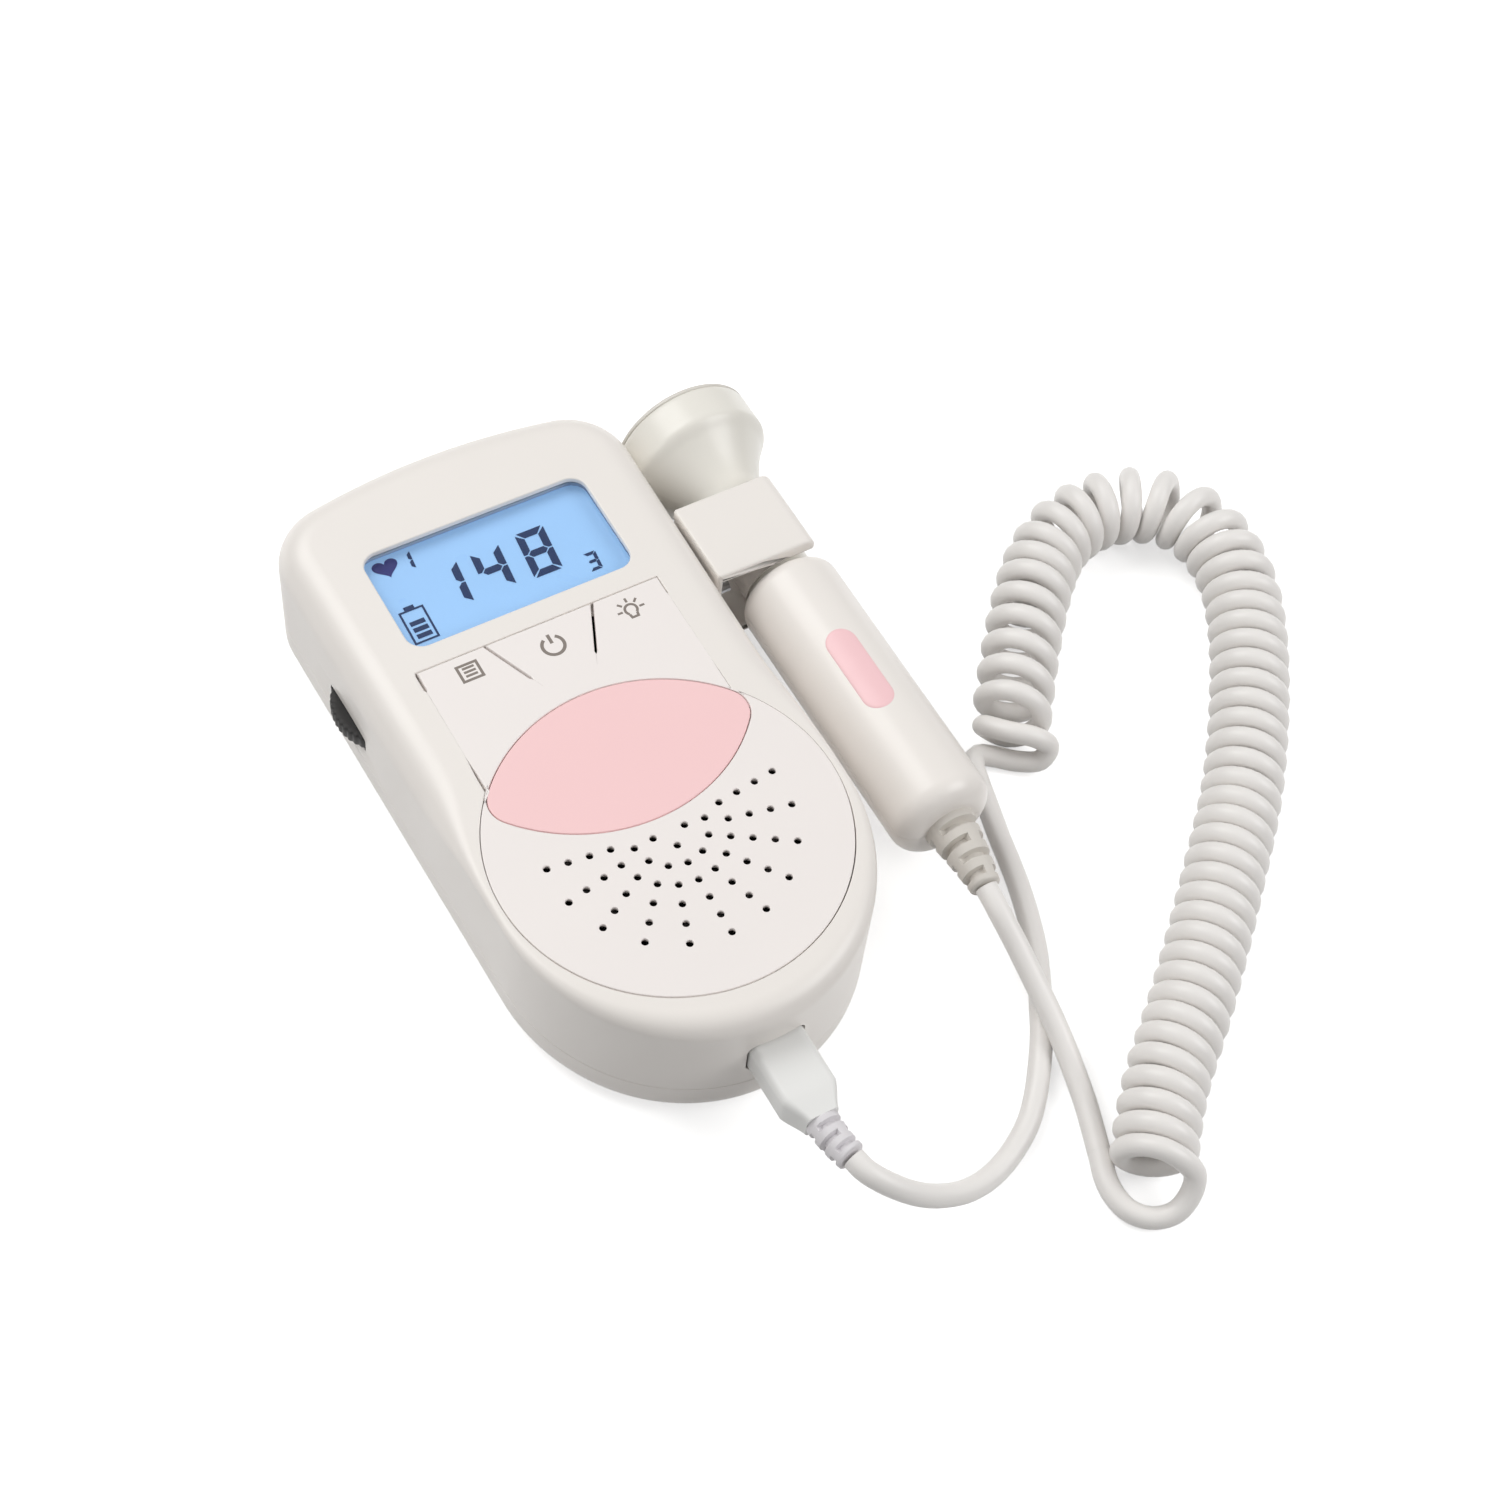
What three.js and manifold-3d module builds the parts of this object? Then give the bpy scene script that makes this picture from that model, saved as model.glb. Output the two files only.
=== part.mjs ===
// Pocket fetal doppler: handheld unit, probe held in its side clip, and the curly cord between them.
// Millimetres. X runs right across the display, Y up the body towards it, Z up from the rear face.
// The origin is on the rear face, straight below the centre of the speaker holes.
import * as THREE from "three";
import { mergeVertices } from "three/addons/utils/BufferGeometryUtils.js";
import Module from "manifold-3d";

const wasm = await Module();
wasm.setup();

// Clearances that every piece shares.
const seatGap = 0.3;
const runGap = 0.4;
const overrun = 1;

// Casing.
const bodyLength = 135.4;
const bodyHeight = 30;
const bodyEndHalfWidth = 33.9;
const bodyEndDepth = 36.4;
const bodyEndDrop = 3.1;
const bodyTopHalfWidth = 35.5;
const bodyCornerRadius = 12.9;
const bodyCornerTurn = THREE.MathUtils.degToRad(80);
const bodyTopCrown = 2.2;
const faceEdgeShare = 0.6;
const faceEdgeLeast = 0.9;
const faceEdgeMost = 6.3;
const rearEdgeRadius = 5;
const wall = 2.2;
const partingHeight = 9;
const lipHeight = 1.2;
const lipThickness = 0.95;

// Face panel with the speaker holes, and the three keys above it.
const panelRadius = 32.2;
const keyBankHalfWidth = 24.2;
const panelThickness = 1.8;
const panelLedgeWidth = 2;
const panelLedgeThickness = 1.4;
const panelLedgeRoot = 1.6;
const panelEdgeBevel = 0.35;
const panelArcSteps = 16;
const keyRootY = 36.5;
const keyLength = 12.6;
const keyDividerTop = 10.85;
const keyDividerRoot = 5.35;
const keyThickness = 1.8;
const keyPostRadius = 1.6;
const keyPostRise = 7;
const keyPostOffset = 15.8;
const grilleRadius = 22.2;
const grilleHoleRadius = 0.75;
const grilleLines = 11;
const grilleLineAngle = THREE.MathUtils.degToRad(19.43);
const grilleRingShares = [1, 0.826, 0.652, 0.48];
const grilleInnerShare = 0.309;
const grilleInnerHoles = 7;
const grilleInnerStepShare = 1.5;
const grilleCoreShare = 0.138;
const grilleCoreHoles = 3;

// Lens-shaped badge on the panel.
const badgeHalfLength = 25.3;
const badgeHalfHeight = 14.25;
const badgeTipRadius = 5;
const badgeCentreY = 17.6;
const badgeThickness = 0.7;
const badgeSink = 0.05;

// Display.
const displayWidth = 45;
const displayHeight = 22.9;
const displayCorner = 3.2;
const displayCentreY = 65.2;
const bezelThickness = 0.8;
const paneMargin = 1.3;
const paneThicknessShare = 0.165;
const glassMargin = 0.5;
const glassThicknessShare = 0.25;
const backlightThicknessShare = 0.275;
const displayFrameWall = 1.7;

// Main board and what it carries.
const boardTop = 20.5;
const boardThickness = 1.6;
const boardHalfWidth = 31;
const boardNeckHalfWidth = 22.9;
const boardLowY = 23.5;
const boardShoulderY = 78.5;
const boardHighY = 86.5;
const switchSize = 6;
const switchHeightShare = 0.47;
const switchCapHeightShare = 0.16;
const switchCapRadius = 1.7;
const jackCentreX = 12;
const jackWidth = 6.4;
const jackLength = 9.4;
const jackHeightShare = 0.81;
const jackBoreShare = 0.64;
const jackBoreDepth = 8;
const jackPanelShare = 0.86;

// Volume wheel and its potentiometer.
const dialRadius = 10;
const dialThickness = 3;
const dialProud = 1.9;
const dialCentreY = 56.2;
const dialLowZ = 13;
const dialRibs = 30;
const dialRibDepth = 0.4;
const dialScoopRadius = 24;
const dialScoopDepth = 0.9;
const dialScoopHeight = 6.4;
const potRadius = 5;
const potShaftRadius = 1.5;
const potShaftFlat = 0.5;

// Speaker.
const speakerRadius = 20;
const speakerFlangeWidth = 2.6;
const speakerFlangeThickness = 1.2;
const speakerDepth = 7;
const speakerCupRadius = 11.5;
const speakerSheet = 1;
const magnetRadius = 12.5;
const magnetHeight = 5;
const coneThickness = 0.5;
const coneCapRadius = 5;
const gasketThickness = 1;
const speakerRingWall = 1.1;
const speakerRingDepth = 2.6;

// Cells, contacts and the door over them.
const cellRadius = 7.1;
const cellLength = 49.5;
const cellNubRadius = 2.7;
const cellNubLength = 1;
const cellSpacing = 15.2;
const bayCentreY = 54.5;
const contactThickness = 0.5;
const contactWidth = 9;
const contactHeight = 11;
const springLength = 4.2;
const springWire = 0.8;
const springTurns = 3;
const springBaseRadius = 4.2;
const springTipRadius = 2.6;
const springSteps = 7;
const bayWall = 1.2;
const doorThickness = 1.6;
const doorSink = 0.2;
const doorRim = 2.6;
const doorCorner = 2;
const doorTongueLength = 1.8;
const doorTongueWidth = 5;
const doorTongueSpacing = 20;
const doorTongueRoomBack = 1;
const doorTongueRoomRise = 3;
const doorLatchWidth = 8;
const doorLatchThickness = 0.7;
const doorLatchHeight = 3.4;
const doorGripRadius = 14;
const doorGripWidth = 14;
const doorGripDepth = 0.8;

// Housing screws and their bosses.
const screwTopX = 26.5;
const screwTopY = 82;
const screwLowX = 14;
const screwLowY = -27.5;
const screwHeadRadius = 2.6;
const screwHeadHeight = 1.8;
const screwShankRadius = 1.2;
const screwLength = 12;
const screwSink = 1.9;
const bossRadius = 4.2;
const bossHeight = 8;
const pillarRadius = 3;

// Socket for the plug, in the lower end.
const socketZ = 17;
const socketWidth = 11.2;
const socketHeight = 7.2;
const socketLength = 12.1;
const socketBoardWidth = 18;
const socketBoardLength = 13;
const socketPostRadius = 1.6;
const socketPostSpacing = 12;

// Clip block for the probe.
const clipOuterX = 56.6;
const clipLowY = 46;
const clipLength = 17.8;
const clipHeight = 21;
const clipCorner = 2.2;
const clipScrewSpacing = 9;
const clipScrewRadius = 1.1;
const clipScrewHeadRadius = 2.2;
const clipScrewHeadHeight = 1.5;
const clipScrewReach = 5.4;

// Probe, on an axis along Y.
const probeZ = 16;
const headClearance = 0.3;
const handleRadius = 9.9;
const handleWall = 1.8;
const handleEndY = -13.9;
const handleTopGap = 0.5;
const handleEndRound = 3.6;
const handleShoulderRound = 3.2;
const neckRadius = 7;
const neckInsert = 4.5;
const headRadius = 14.4;
const headRimY = 78.7;
const headRimLength = 6.5;
const headWall = 1.9;
const headFlareStart = 64.6;
const headFlareShares = [[0.2, 0.08], [0.4, 0.24], [0.6, 0.46], [0.8, 0.73]];
const lensSeat = 1.6;
const lensDomeShares = [1, 0.93, 0.8, 0.6, 0.35, 0];
const lensDome = 2.8;
const elementThickness = 2;
const elementSplit = 1.2;
const holderThickness = 0.8;
const probeBoardLength = 34;
const pillLength = 18.8;
const pillWidth = 6;
const pillCentreY = 17.2;
const pillThickness = 0.5;
const pillTurn = THREE.MathUtils.degToRad(7);
const probeReliefLength = 13.6;
const probeReliefRadius = 5;
const reliefTipRadius = 2.9;
const reliefNeckRadius = 3.4;
const reliefFlangeRadius = 5;
const reliefRibs = 4;
const reliefGroove = 0.6;
const reliefSides = 12;
const probeReliefAside = -0.9;

// Plug.
const plugWidth = 10.5;
const plugHeight = 7.5;
const plugCorner = 1.6;
const plugFrontY = -38.9;
const plugLength = 11.2;
const plugTaper = 4.6;
const plugShellWidth = 8.2;
const plugShellHeight = 4.2;
const plugShellWall = 0.4;
const plugShellLength = 10.4;
const plugShellSeat = 2.6;
const plugTongueThickness = 1.6;
const plugTongueSetback = 1;
const plugReliefLength = 7.3;
const plugReliefAside = 0.9;
const plugReliefRise = 0.4;
const plugReliefRadius = 3.1;

// Cord: diameters, curl, and its route in real places chosen by hand.
const runDiameter = 4;
const curlCordDiameter = 3.6;
const curlRadius = 5.7;
const curlLift = 0.05;
const curlTurns = 45.5;
const curlStartTurn = 0.5;
const curlPlaces = [
  [0, 0.0267], [6, 0.1385], [18, 0.3614], [28, 0.5597], [30, 0.6035], [31, 0.6255], [32, 0.6528], [33, 0.682],
  [35, 0.7331], [38, 0.802], [39, 0.8225], [40, 0.842], [42, 0.8891], [44, 0.9396], [45, 0.9665], [45.5, 0.977],
];
const cordStep = 5.5;
const curlSteps = 8;
const curlSides = 5;
const cordSides = 8;
const probeRun = [
  [49.3, -28.3, 16], [49.1, -33.5, 15], [49.5, -39.5, 12.1], [49.7, -46.1, 9], [49.7, -51.6, 6.9],
  [49.3, -57, 5], [48.6, -62.2, 3.4], [47.6, -67.2, 2.4], [46.1, -72, 2.05], [44.4, -76.8, 2.05],
];
const curlLeadIn = [
  [44.2, -77.2, 2], [42.9, -80.8, 1.85], [42.5, -84.4, 1.85], [43.3, -87.9, 1.85], [46, -90.7, 1.9], [49.6, -92, 3.2],
  [52.8, -91.1, 5.8], [54.1, -89.4, 8.8], [52.9, -87.6, 11.3], [51.3, -85.8, 12.8],
];
const curlAxis = [
  [45.6, -88.8], [49.5, -83.9], [53.9, -78.7], [60.5, -71.9], [71.7, -62.4], [82.5, -52.6], [92.9, -42.7],
  [107, -28.7], [120.6, -11.9], [130.2, 2.6], [134.6, 12.1], [136.2, 21.6], [134.5, 29.7], [129.6, 35.4],
  [122.8, 38.4], [115.6, 38.8], [108.8, 37], [102.8, 33.3], [97.2, 28.2], [91, 21.6], [83.5, 12.7], [76.5, 3.9],
  [73.4, 0],
];
const curlLeadOut = [
  [72, 6.4, 6.3], [74.3, 1.5, 9.1], [78.4, -1.7, 8.6], [80.9, -3.1, 5.8], [79.2, -3.6, 3], [75.6, -1.3, 1.85],
  [72.2, 1.6, 1.85], [69.5, 3.2, 1.85], [67.6, 1.4, 1.85], [66.8, -1.2, 1.9], [66.3, -3, 2],
];
const plugRun = [
  [66.2, -3.4, 2.05], [64.8, -9, 2.05], [63.5, -14.1, 2.05], [62.3, -19.6, 2.05], [60.8, -25.5, 2.05],
  [59, -31.2, 2.05], [56.8, -36.9, 2.05], [54.2, -42.1, 2.05], [51.3, -47.1, 2.05], [48.3, -52.1, 2.05],
  [44.9, -56.8, 2.05], [41, -61.6, 2.05], [36.8, -65.7, 2.05], [31.6, -69, 2.2], [25.8, -71.5, 3.2],
  [19.8, -72.8, 5.3], [14.4, -72.6, 8], [9.9, -71.6, 11], [6.4, -70, 13.8], [3.6, -67.9, 16], [1.8, -65.6, 17.2],
  [1.1, -63, 17.5],
];

// Finishes.
const creamPlastic = new THREE.MeshStandardMaterial({ color: "#f2ebe1", roughness: 0.32, metalness: 0 });
const pinkPlastic = new THREE.MeshStandardMaterial({ color: "#f9b3b5", roughness: 0.35, metalness: 0 });
const lensGrey = new THREE.MeshStandardMaterial({ color: "#d3cdc2", roughness: 0.4, metalness: 0 });
const blackPlastic = new THREE.MeshStandardMaterial({ color: "#1b1917", roughness: 0.55, metalness: 0 });
const clearPlastic = new THREE.MeshStandardMaterial({ color: "#9fcdf7", roughness: 0.08, metalness: 0 });
const displayBlue = new THREE.MeshStandardMaterial({ color: "#6cb2f6", roughness: 0.25, metalness: 0 });
const whitePlastic = new THREE.MeshStandardMaterial({ color: "#ecece8", roughness: 0.5, metalness: 0 });
const boardGreen = new THREE.MeshStandardMaterial({ color: "#1f6b45", roughness: 0.5, metalness: 0 });
const steel = new THREE.MeshStandardMaterial({ color: "#b9bcc0", roughness: 0.3, metalness: 1 });
const magnetGrey = new THREE.MeshStandardMaterial({ color: "#4b4d50", roughness: 0.6, metalness: 0.4 });
const paperBlack = new THREE.MeshStandardMaterial({ color: "#2a2826", roughness: 0.9, metalness: 0 });
const foamGrey = new THREE.MeshStandardMaterial({ color: "#6b6a68", roughness: 0.95, metalness: 0 });
const cellJacket = new THREE.MeshStandardMaterial({ color: "#3b7f86", roughness: 0.4, metalness: 0.2 });
const ceramicGrey = new THREE.MeshStandardMaterial({ color: "#c9c2a9", roughness: 0.6, metalness: 0 });
const cordGrey = new THREE.MeshStandardMaterial({ color: "#d9d3ca", roughness: 0.45, metalness: 0 });

// Places that follow from the sizes above.
const bodyLowY = -bodyEndDrop - bodyEndDepth;
const bodyHighY = bodyLowY + bodyLength;
const cornerCentreX = bodyTopHalfWidth - bodyCornerRadius;
const probeX = bodyTopHalfWidth + headClearance + headRadius;
const cornerCentreY = bodyHighY - bodyTopCrown - bodyCornerRadius;
const keyTopY = keyRootY + keyLength;
const panelTopY = keyRootY - seatGap;
const boardLowZ = boardTop - boardThickness;
const bayTopZ = boardLowZ - seatGap;
const clipHighY = clipLowY + clipLength;
const clipMidY = (clipLowY + clipHighY) / 2;
const dialTopZ = dialLowZ + dialThickness;

// Half the casing's width at a height along its straight flank.
function flankHalfWidth(y) {
  const share = (y + bodyEndDrop) / (cornerCentreY + bodyEndDrop);
  return bodyEndHalfWidth + (bodyTopHalfWidth - bodyEndHalfWidth) * share;
}

// The inner face of the lower end wall, at a distance from the middle.
function endWallY(x) {
  return -bodyEndDrop - (bodyEndDepth - wall) * Math.sqrt(1 - (x / (bodyEndHalfWidth - wall)) ** 2);
}

// A closed geometry as a solid that can be cut and joined, whichever way its faces were wound.
function solidOf(geometry) {
  const bare = geometry.index ? geometry.toNonIndexed() : geometry.clone();
  bare.deleteAttribute("normal");
  bare.deleteAttribute("uv");
  const merged = mergeVertices(bare);
  const index = merged.index.array;
  const kept = [];
  for (let i = 0; i < index.length; i += 3) {
    const [a, b, c] = [index[i], index[i + 1], index[i + 2]];
    if (a !== b && b !== c && c !== a) kept.push(a, b, c);
  }
  const vertProperties = merged.attributes.position.array;
  const made = new wasm.Manifold(new wasm.Mesh({ numProp: 3, vertProperties, triVerts: new Uint32Array(kept) }));
  if (made.volume() > 0) return made;
  const turned = new Uint32Array(kept.toReversed());
  return new wasm.Manifold(new wasm.Mesh({ numProp: 3, vertProperties, triVerts: turned }));
}

// A solid's faces as a geometry with flat shading.
function geometryOf(solid) {
  const mesh = solid.getMesh();
  const geometry = new THREE.BufferGeometry();
  geometry.setAttribute("position", new THREE.BufferAttribute(new Float32Array(mesh.vertProperties), 3));
  geometry.setIndex(new THREE.BufferAttribute(new Uint32Array(mesh.triVerts), 1));
  const flat = geometry.toNonIndexed();
  flat.computeVertexNormals();
  return flat;
}

function cut(body, ...tools) {
  return tools.reduce((left, tool) => left.subtract(tool), body);
}

function join(...solids) {
  return solids.reduce((sum, next) => sum.add(next));
}

function slab(x0, x1, y0, y1, z0, z1) {
  const box = new THREE.BoxGeometry(x1 - x0, y1 - y0, z1 - z0);
  return solidOf(box.translate((x0 + x1) / 2, (y0 + y1) / 2, (z0 + z1) / 2));
}

function rodZ(radius, x, y, z0, z1, sides = 24) {
  const rod = new THREE.CylinderGeometry(radius, radius, z1 - z0, sides);
  return solidOf(rod.rotateX(Math.PI / 2).translate(x, y, (z0 + z1) / 2));
}

function rodY(radius, x, z, y0, y1, sides = 24) {
  const rod = new THREE.CylinderGeometry(radius, radius, y1 - y0, sides);
  return solidOf(rod.translate(x, (y0 + y1) / 2, z));
}

function rodX(radius, y, z, x0, x1, sides = 20) {
  const rod = new THREE.CylinderGeometry(radius, radius, x1 - x0, sides);
  return solidOf(rod.rotateZ(Math.PI / 2).translate((x0 + x1) / 2, y, z));
}

function prism(shape, z0, z1, curveSegments = 12) {
  const depth = z1 - z0;
  return solidOf(new THREE.ExtrudeGeometry(shape, { depth, bevelEnabled: false, curveSegments }).translate(0, 0, z0));
}

// A profile of [radius, place] pairs turned about the Y axis, or about Z.
function turnedY(profile, sides = 28) {
  return solidOf(new THREE.LatheGeometry(profile.map(([r, y]) => new THREE.Vector2(r, y)), sides));
}

function turnedZ(profile, sides = 24) {
  return solidOf(new THREE.LatheGeometry(profile.map(([r, z]) => new THREE.Vector2(r, z)), sides).rotateX(Math.PI / 2));
}

function roundedRectangle(halfWidth, halfHeight, radius, centreX = 0, centreY = 0) {
  const shape = new THREE.Shape();
  const [x, y] = [halfWidth - radius, halfHeight - radius];
  shape.absarc(centreX + x, centreY + y, radius, 0, Math.PI / 2);
  shape.absarc(centreX - x, centreY + y, radius, Math.PI / 2, Math.PI);
  shape.absarc(centreX - x, centreY - y, radius, Math.PI, Math.PI * 1.5);
  shape.absarc(centreX + x, centreY - y, radius, Math.PI * 1.5, Math.PI * 2);
  shape.closePath();
  return shape;
}

// Closed skin through rings of as many points each, capped by fans about the first and last centres.
function skin(rings) {
  const count = rings[0].length;
  const centres = [rings[0], rings.at(-1)].map((ring) => {
    const sum = ring.reduce((total, point) => total.add(point), new THREE.Vector3());
    return sum.divideScalar(count);
  });
  const points = [...rings.flat(), ...centres];
  const [first, last] = [rings.length * count, rings.length * count + 1];
  const faces = [];
  for (let i = 0; i < count; i++) {
    const next = (i + 1) % count;
    for (let r = 0; r + 1 < rings.length; r++) {
      const [low, high] = [r * count, (r + 1) * count];
      faces.push(low + i, low + next, high + next, low + i, high + next, high + i);
    }
    const top = (rings.length - 1) * count;
    faces.push(first, next, i, last, top + i, top + next);
  }
  const geometry = new THREE.BufferGeometry().setFromPoints(points);
  geometry.setIndex(faces);
  return solidOf(geometry);
}

// Places round the casing's outline with the way out at each, counter-clockwise from the middle of the lower end.
function outlinePlaces() {
  const [endSteps, cornerSteps, crownSteps] = [12, 5, 3];
  const right = [];
  for (let i = 0; i <= endSteps; i++) {
    const angle = (Math.PI / 2) * (i / endSteps - 1);
    const [c, s] = [Math.cos(angle), Math.sin(angle)];
    const out = new THREE.Vector2(c / bodyEndHalfWidth, s / bodyEndDepth).normalize();
    right.push({ at: new THREE.Vector2(bodyEndHalfWidth * c, bodyEndDepth * s - bodyEndDrop), out });
  }
  for (let i = 0; i <= cornerSteps; i++) {
    const angle = (bodyCornerTurn * i) / cornerSteps;
    const out = new THREE.Vector2(Math.cos(angle), Math.sin(angle));
    right.push({ at: out.clone().multiplyScalar(bodyCornerRadius).add(new THREE.Vector2(cornerCentreX, cornerCentreY)), out });
  }
  const last = right.at(-1).at;
  const rise = bodyHighY - last.y;
  for (let i = 1; i <= crownSteps; i++) {
    const share = 1 - i / crownSteps;
    const out = new THREE.Vector2((2 * rise * share) / last.x, 1).normalize();
    right.push({ at: new THREE.Vector2(last.x * share, bodyHighY - rise * share * share), out });
  }
  const mirrored = right.slice(1, -1).reverse().map(({ at, out }) => {
    return { at: new THREE.Vector2(-at.x, at.y), out: new THREE.Vector2(-out.x, out.y) };
  });
  return [...right, ...mirrored];
}

// How round the front edge is at a place: it follows the room between the outline and the panel.
function faceEdgeAt(at) {
  const seam = panelShape(0, keyTopY).getPoints(panelArcSteps * 2);
  const room = Math.min(...seam.map((point) => point.distanceTo(at)));
  return THREE.MathUtils.clamp(room * faceEdgeShare, faceEdgeLeast, faceEdgeMost);
}

// A ring of the casing's outline: each place is drawn in by its inset and set at its height.
function outlineRing(places, insetAt, heightAt) {
  return places.map((place) => {
    const { x, y } = place.at.clone().addScaledVector(place.out, -insetAt(place));
    return new THREE.Vector3(x, y, heightAt(place));
  });
}

// The casing's outer form, or the hollow inside it, with its edges rounded front and rear.
function bodyForm(inset) {
  const steps = 3;
  const places = outlinePlaces();
  places.forEach((place) => {
    place.edge = Math.max(faceEdgeAt(place.at) - inset, seatGap);
  });
  const rings = [];
  for (let i = 0; i <= steps; i++) {
    const angle = ((Math.PI / 2) * i) / steps;
    const radius = rearEdgeRadius - inset;
    rings.push(outlineRing(places, () => inset + radius * (1 - Math.sin(angle)), () => inset + radius * (1 - Math.cos(angle))));
  }
  for (let i = 0; i <= steps; i++) {
    const angle = ((Math.PI / 2) * i) / steps;
    const insetAt = ({ edge }) => inset + edge * (1 - Math.cos(angle));
    rings.push(outlineRing(places, insetAt, ({ edge }) => bodyHeight - inset - edge * (1 - Math.sin(angle))));
  }
  return skin(rings);
}

function bodySlice(inset, z0, z1) {
  const places = outlinePlaces();
  return skin([z0, z1].map((z) => outlineRing(places, () => inset, () => z)));
}

function space(z0, z1) {
  return bodySlice(-bodyHeight, z0, z1);
}

// The panel's outline: straight upper flanks that run into the round lower end.
function panelShape(grow, topY = panelTopY + grow) {
  const halfWidth = keyBankHalfWidth + grow;
  const radius = panelRadius + grow;
  const angle = Math.acos(halfWidth / radius);
  const shape = new THREE.Shape();
  shape.moveTo(-halfWidth, topY);
  shape.lineTo(-halfWidth, radius * Math.sin(angle));
  shape.absarc(0, 0, radius, Math.PI - angle, angle, false);
  shape.lineTo(halfWidth, topY);
  shape.closePath();
  return shape;
}

// The badge's lens: two shallow arcs that meet in round tips.
function lensShape(grow) {
  const tip = badgeTipRadius;
  const tipX = badgeHalfLength - tip;
  const rise = badgeHalfHeight - tip;
  const arcRadius = tip + (tipX * tipX + rise * rise) / (2 * rise);
  const arcDrop = arcRadius - badgeHalfHeight;
  const swing = Math.atan2(arcDrop, tipX);
  const [bow, nose] = [arcRadius + grow, tip + grow];
  const shape = new THREE.Shape();
  shape.absarc(0, badgeCentreY - arcDrop, bow, swing, Math.PI - swing);
  shape.absarc(-tipX, badgeCentreY, nose, Math.PI - swing, Math.PI + swing);
  shape.absarc(0, badgeCentreY + arcDrop, bow, Math.PI + swing, Math.PI * 2 - swing);
  shape.absarc(tipX, badgeCentreY, nose, -swing, swing);
  shape.closePath();
  return shape;
}

function grilleHoles() {
  const places = [];
  const add = (share, angle) => places.push([grilleRadius * share, angle - Math.PI / 2]);
  for (let line = 0; line < grilleLines; line++) {
    grilleRingShares.forEach((share) => add(share, (line - (grilleLines - 1) / 2) * grilleLineAngle));
  }
  for (let i = 0; i < grilleInnerHoles; i++) {
    add(grilleInnerShare, (i - (grilleInnerHoles - 1) / 2) * grilleLineAngle * grilleInnerStepShare);
  }
  for (let i = 0; i < grilleCoreHoles; i++) {
    add(grilleCoreShare, ((i - (grilleCoreHoles - 1) / 2) * Math.PI) / 2);
  }
  return places.map(([radius, angle]) => {
    const hole = new THREE.Path();
    const [x, y] = [radius * Math.cos(angle), radius * Math.sin(angle)];
    hole.absarc(x, y, grilleHoleRadius, 0, Math.PI * 2, true);
    return hole;
  });
}

const assembly = new THREE.Group();

function addPiece(parent, name, solid, finish) {
  const mesh = new THREE.Mesh(geometryOf(solid), finish);
  mesh.name = name;
  parent.add(mesh);
}

const screwPlaces = [
  [-screwTopX, screwTopY], [screwTopX, screwTopY], [-screwLowX, screwLowY], [screwLowX, screwLowY],
];
const screwHeadTop = screwSink + screwHeadHeight;
const screwTipZ = screwHeadTop + screwLength;

// The earphone jack stands on the board, against the upper end wall.
const panelLowZ = bodyHeight - panelThickness;
const boardRoom = panelLowZ - boardTop - seatGap * 2;
const jackHeight = boardRoom * jackHeightShare;
const jackBoreRadius = (jackHeight / 2) * jackBoreShare;
const jackPanelRadius = (jackHeight / 2) * jackPanelShare;
const jackMidZ = boardTop + seatGap + jackHeight / 2;
const jackHighY = bodyHighY - bodyTopCrown - wall - seatGap;

// Display stack, from the face down to the board.
const paneTopZ = bodyHeight - bezelThickness - seatGap;
const layerRoom = paneTopZ - boardTop - seatGap * 5;
const paneLowZ = paneTopZ - layerRoom * paneThicknessShare;
const frameTopZ = paneLowZ - seatGap;
const glassTopZ = frameTopZ - seatGap;
const backlightTopZ = glassTopZ - layerRoom * glassThicknessShare - seatGap;
const backlightLowZ = backlightTopZ - layerRoom * backlightThicknessShare;

function displayPrism(margin, z0, z1) {
  const [halfWidth, halfHeight] = [displayWidth / 2 + margin, displayHeight / 2 + margin];
  return prism(roundedRectangle(halfWidth, halfHeight, displayCorner, 0, displayCentreY), z0, z1, 2);
}

// Front cover.
const outerForm = bodyForm(0);
const innerForm = bodyForm(wall);
const ledgeTopZ = panelLowZ - seatGap;
const ledgeLowZ = ledgeTopZ - panelLedgeThickness;
const dialCentreX = dialRadius - dialProud - flankHalfWidth(dialCentreY);
const dialSlotHalfHeight = dialThickness / 2 + runGap;
const dialMidZ = dialLowZ + dialThickness / 2;

function dialCuts() {
  const slotX = dialCentreX;
  const slotRadius = dialRadius + runGap;
  const slot = rodZ(slotRadius, slotX, dialCentreY, dialMidZ - dialSlotHalfHeight, dialMidZ + dialSlotHalfHeight, 40);
  const flank = -flankHalfWidth(dialCentreY);
  const scoopX = flank + dialScoopDepth - dialScoopRadius;
  const [low, high] = [dialMidZ - dialScoopHeight / 2, dialMidZ + dialScoopHeight / 2];
  return [slot, rodZ(dialScoopRadius, scoopX, dialCentreY, low, high, 64)];
}

function plugOpening() {
  const [halfWidth, halfHeight] = [plugWidth / 2 + runGap, plugHeight / 2 + runGap];
  const shape = roundedRectangle(halfWidth, halfHeight, plugCorner + runGap);
  const depth = wall + faceEdgeMost;
  const tool = new THREE.ExtrudeGeometry(shape, { depth, bevelEnabled: false, curveSegments: 4 });
  return solidOf(tool.rotateX(Math.PI / 2).translate(0, bodyLowY + wall + overrun, socketZ));
}

function clipScrewPlaces() {
  return [clipMidY - clipScrewSpacing / 2, clipMidY + clipScrewSpacing / 2];
}

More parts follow.
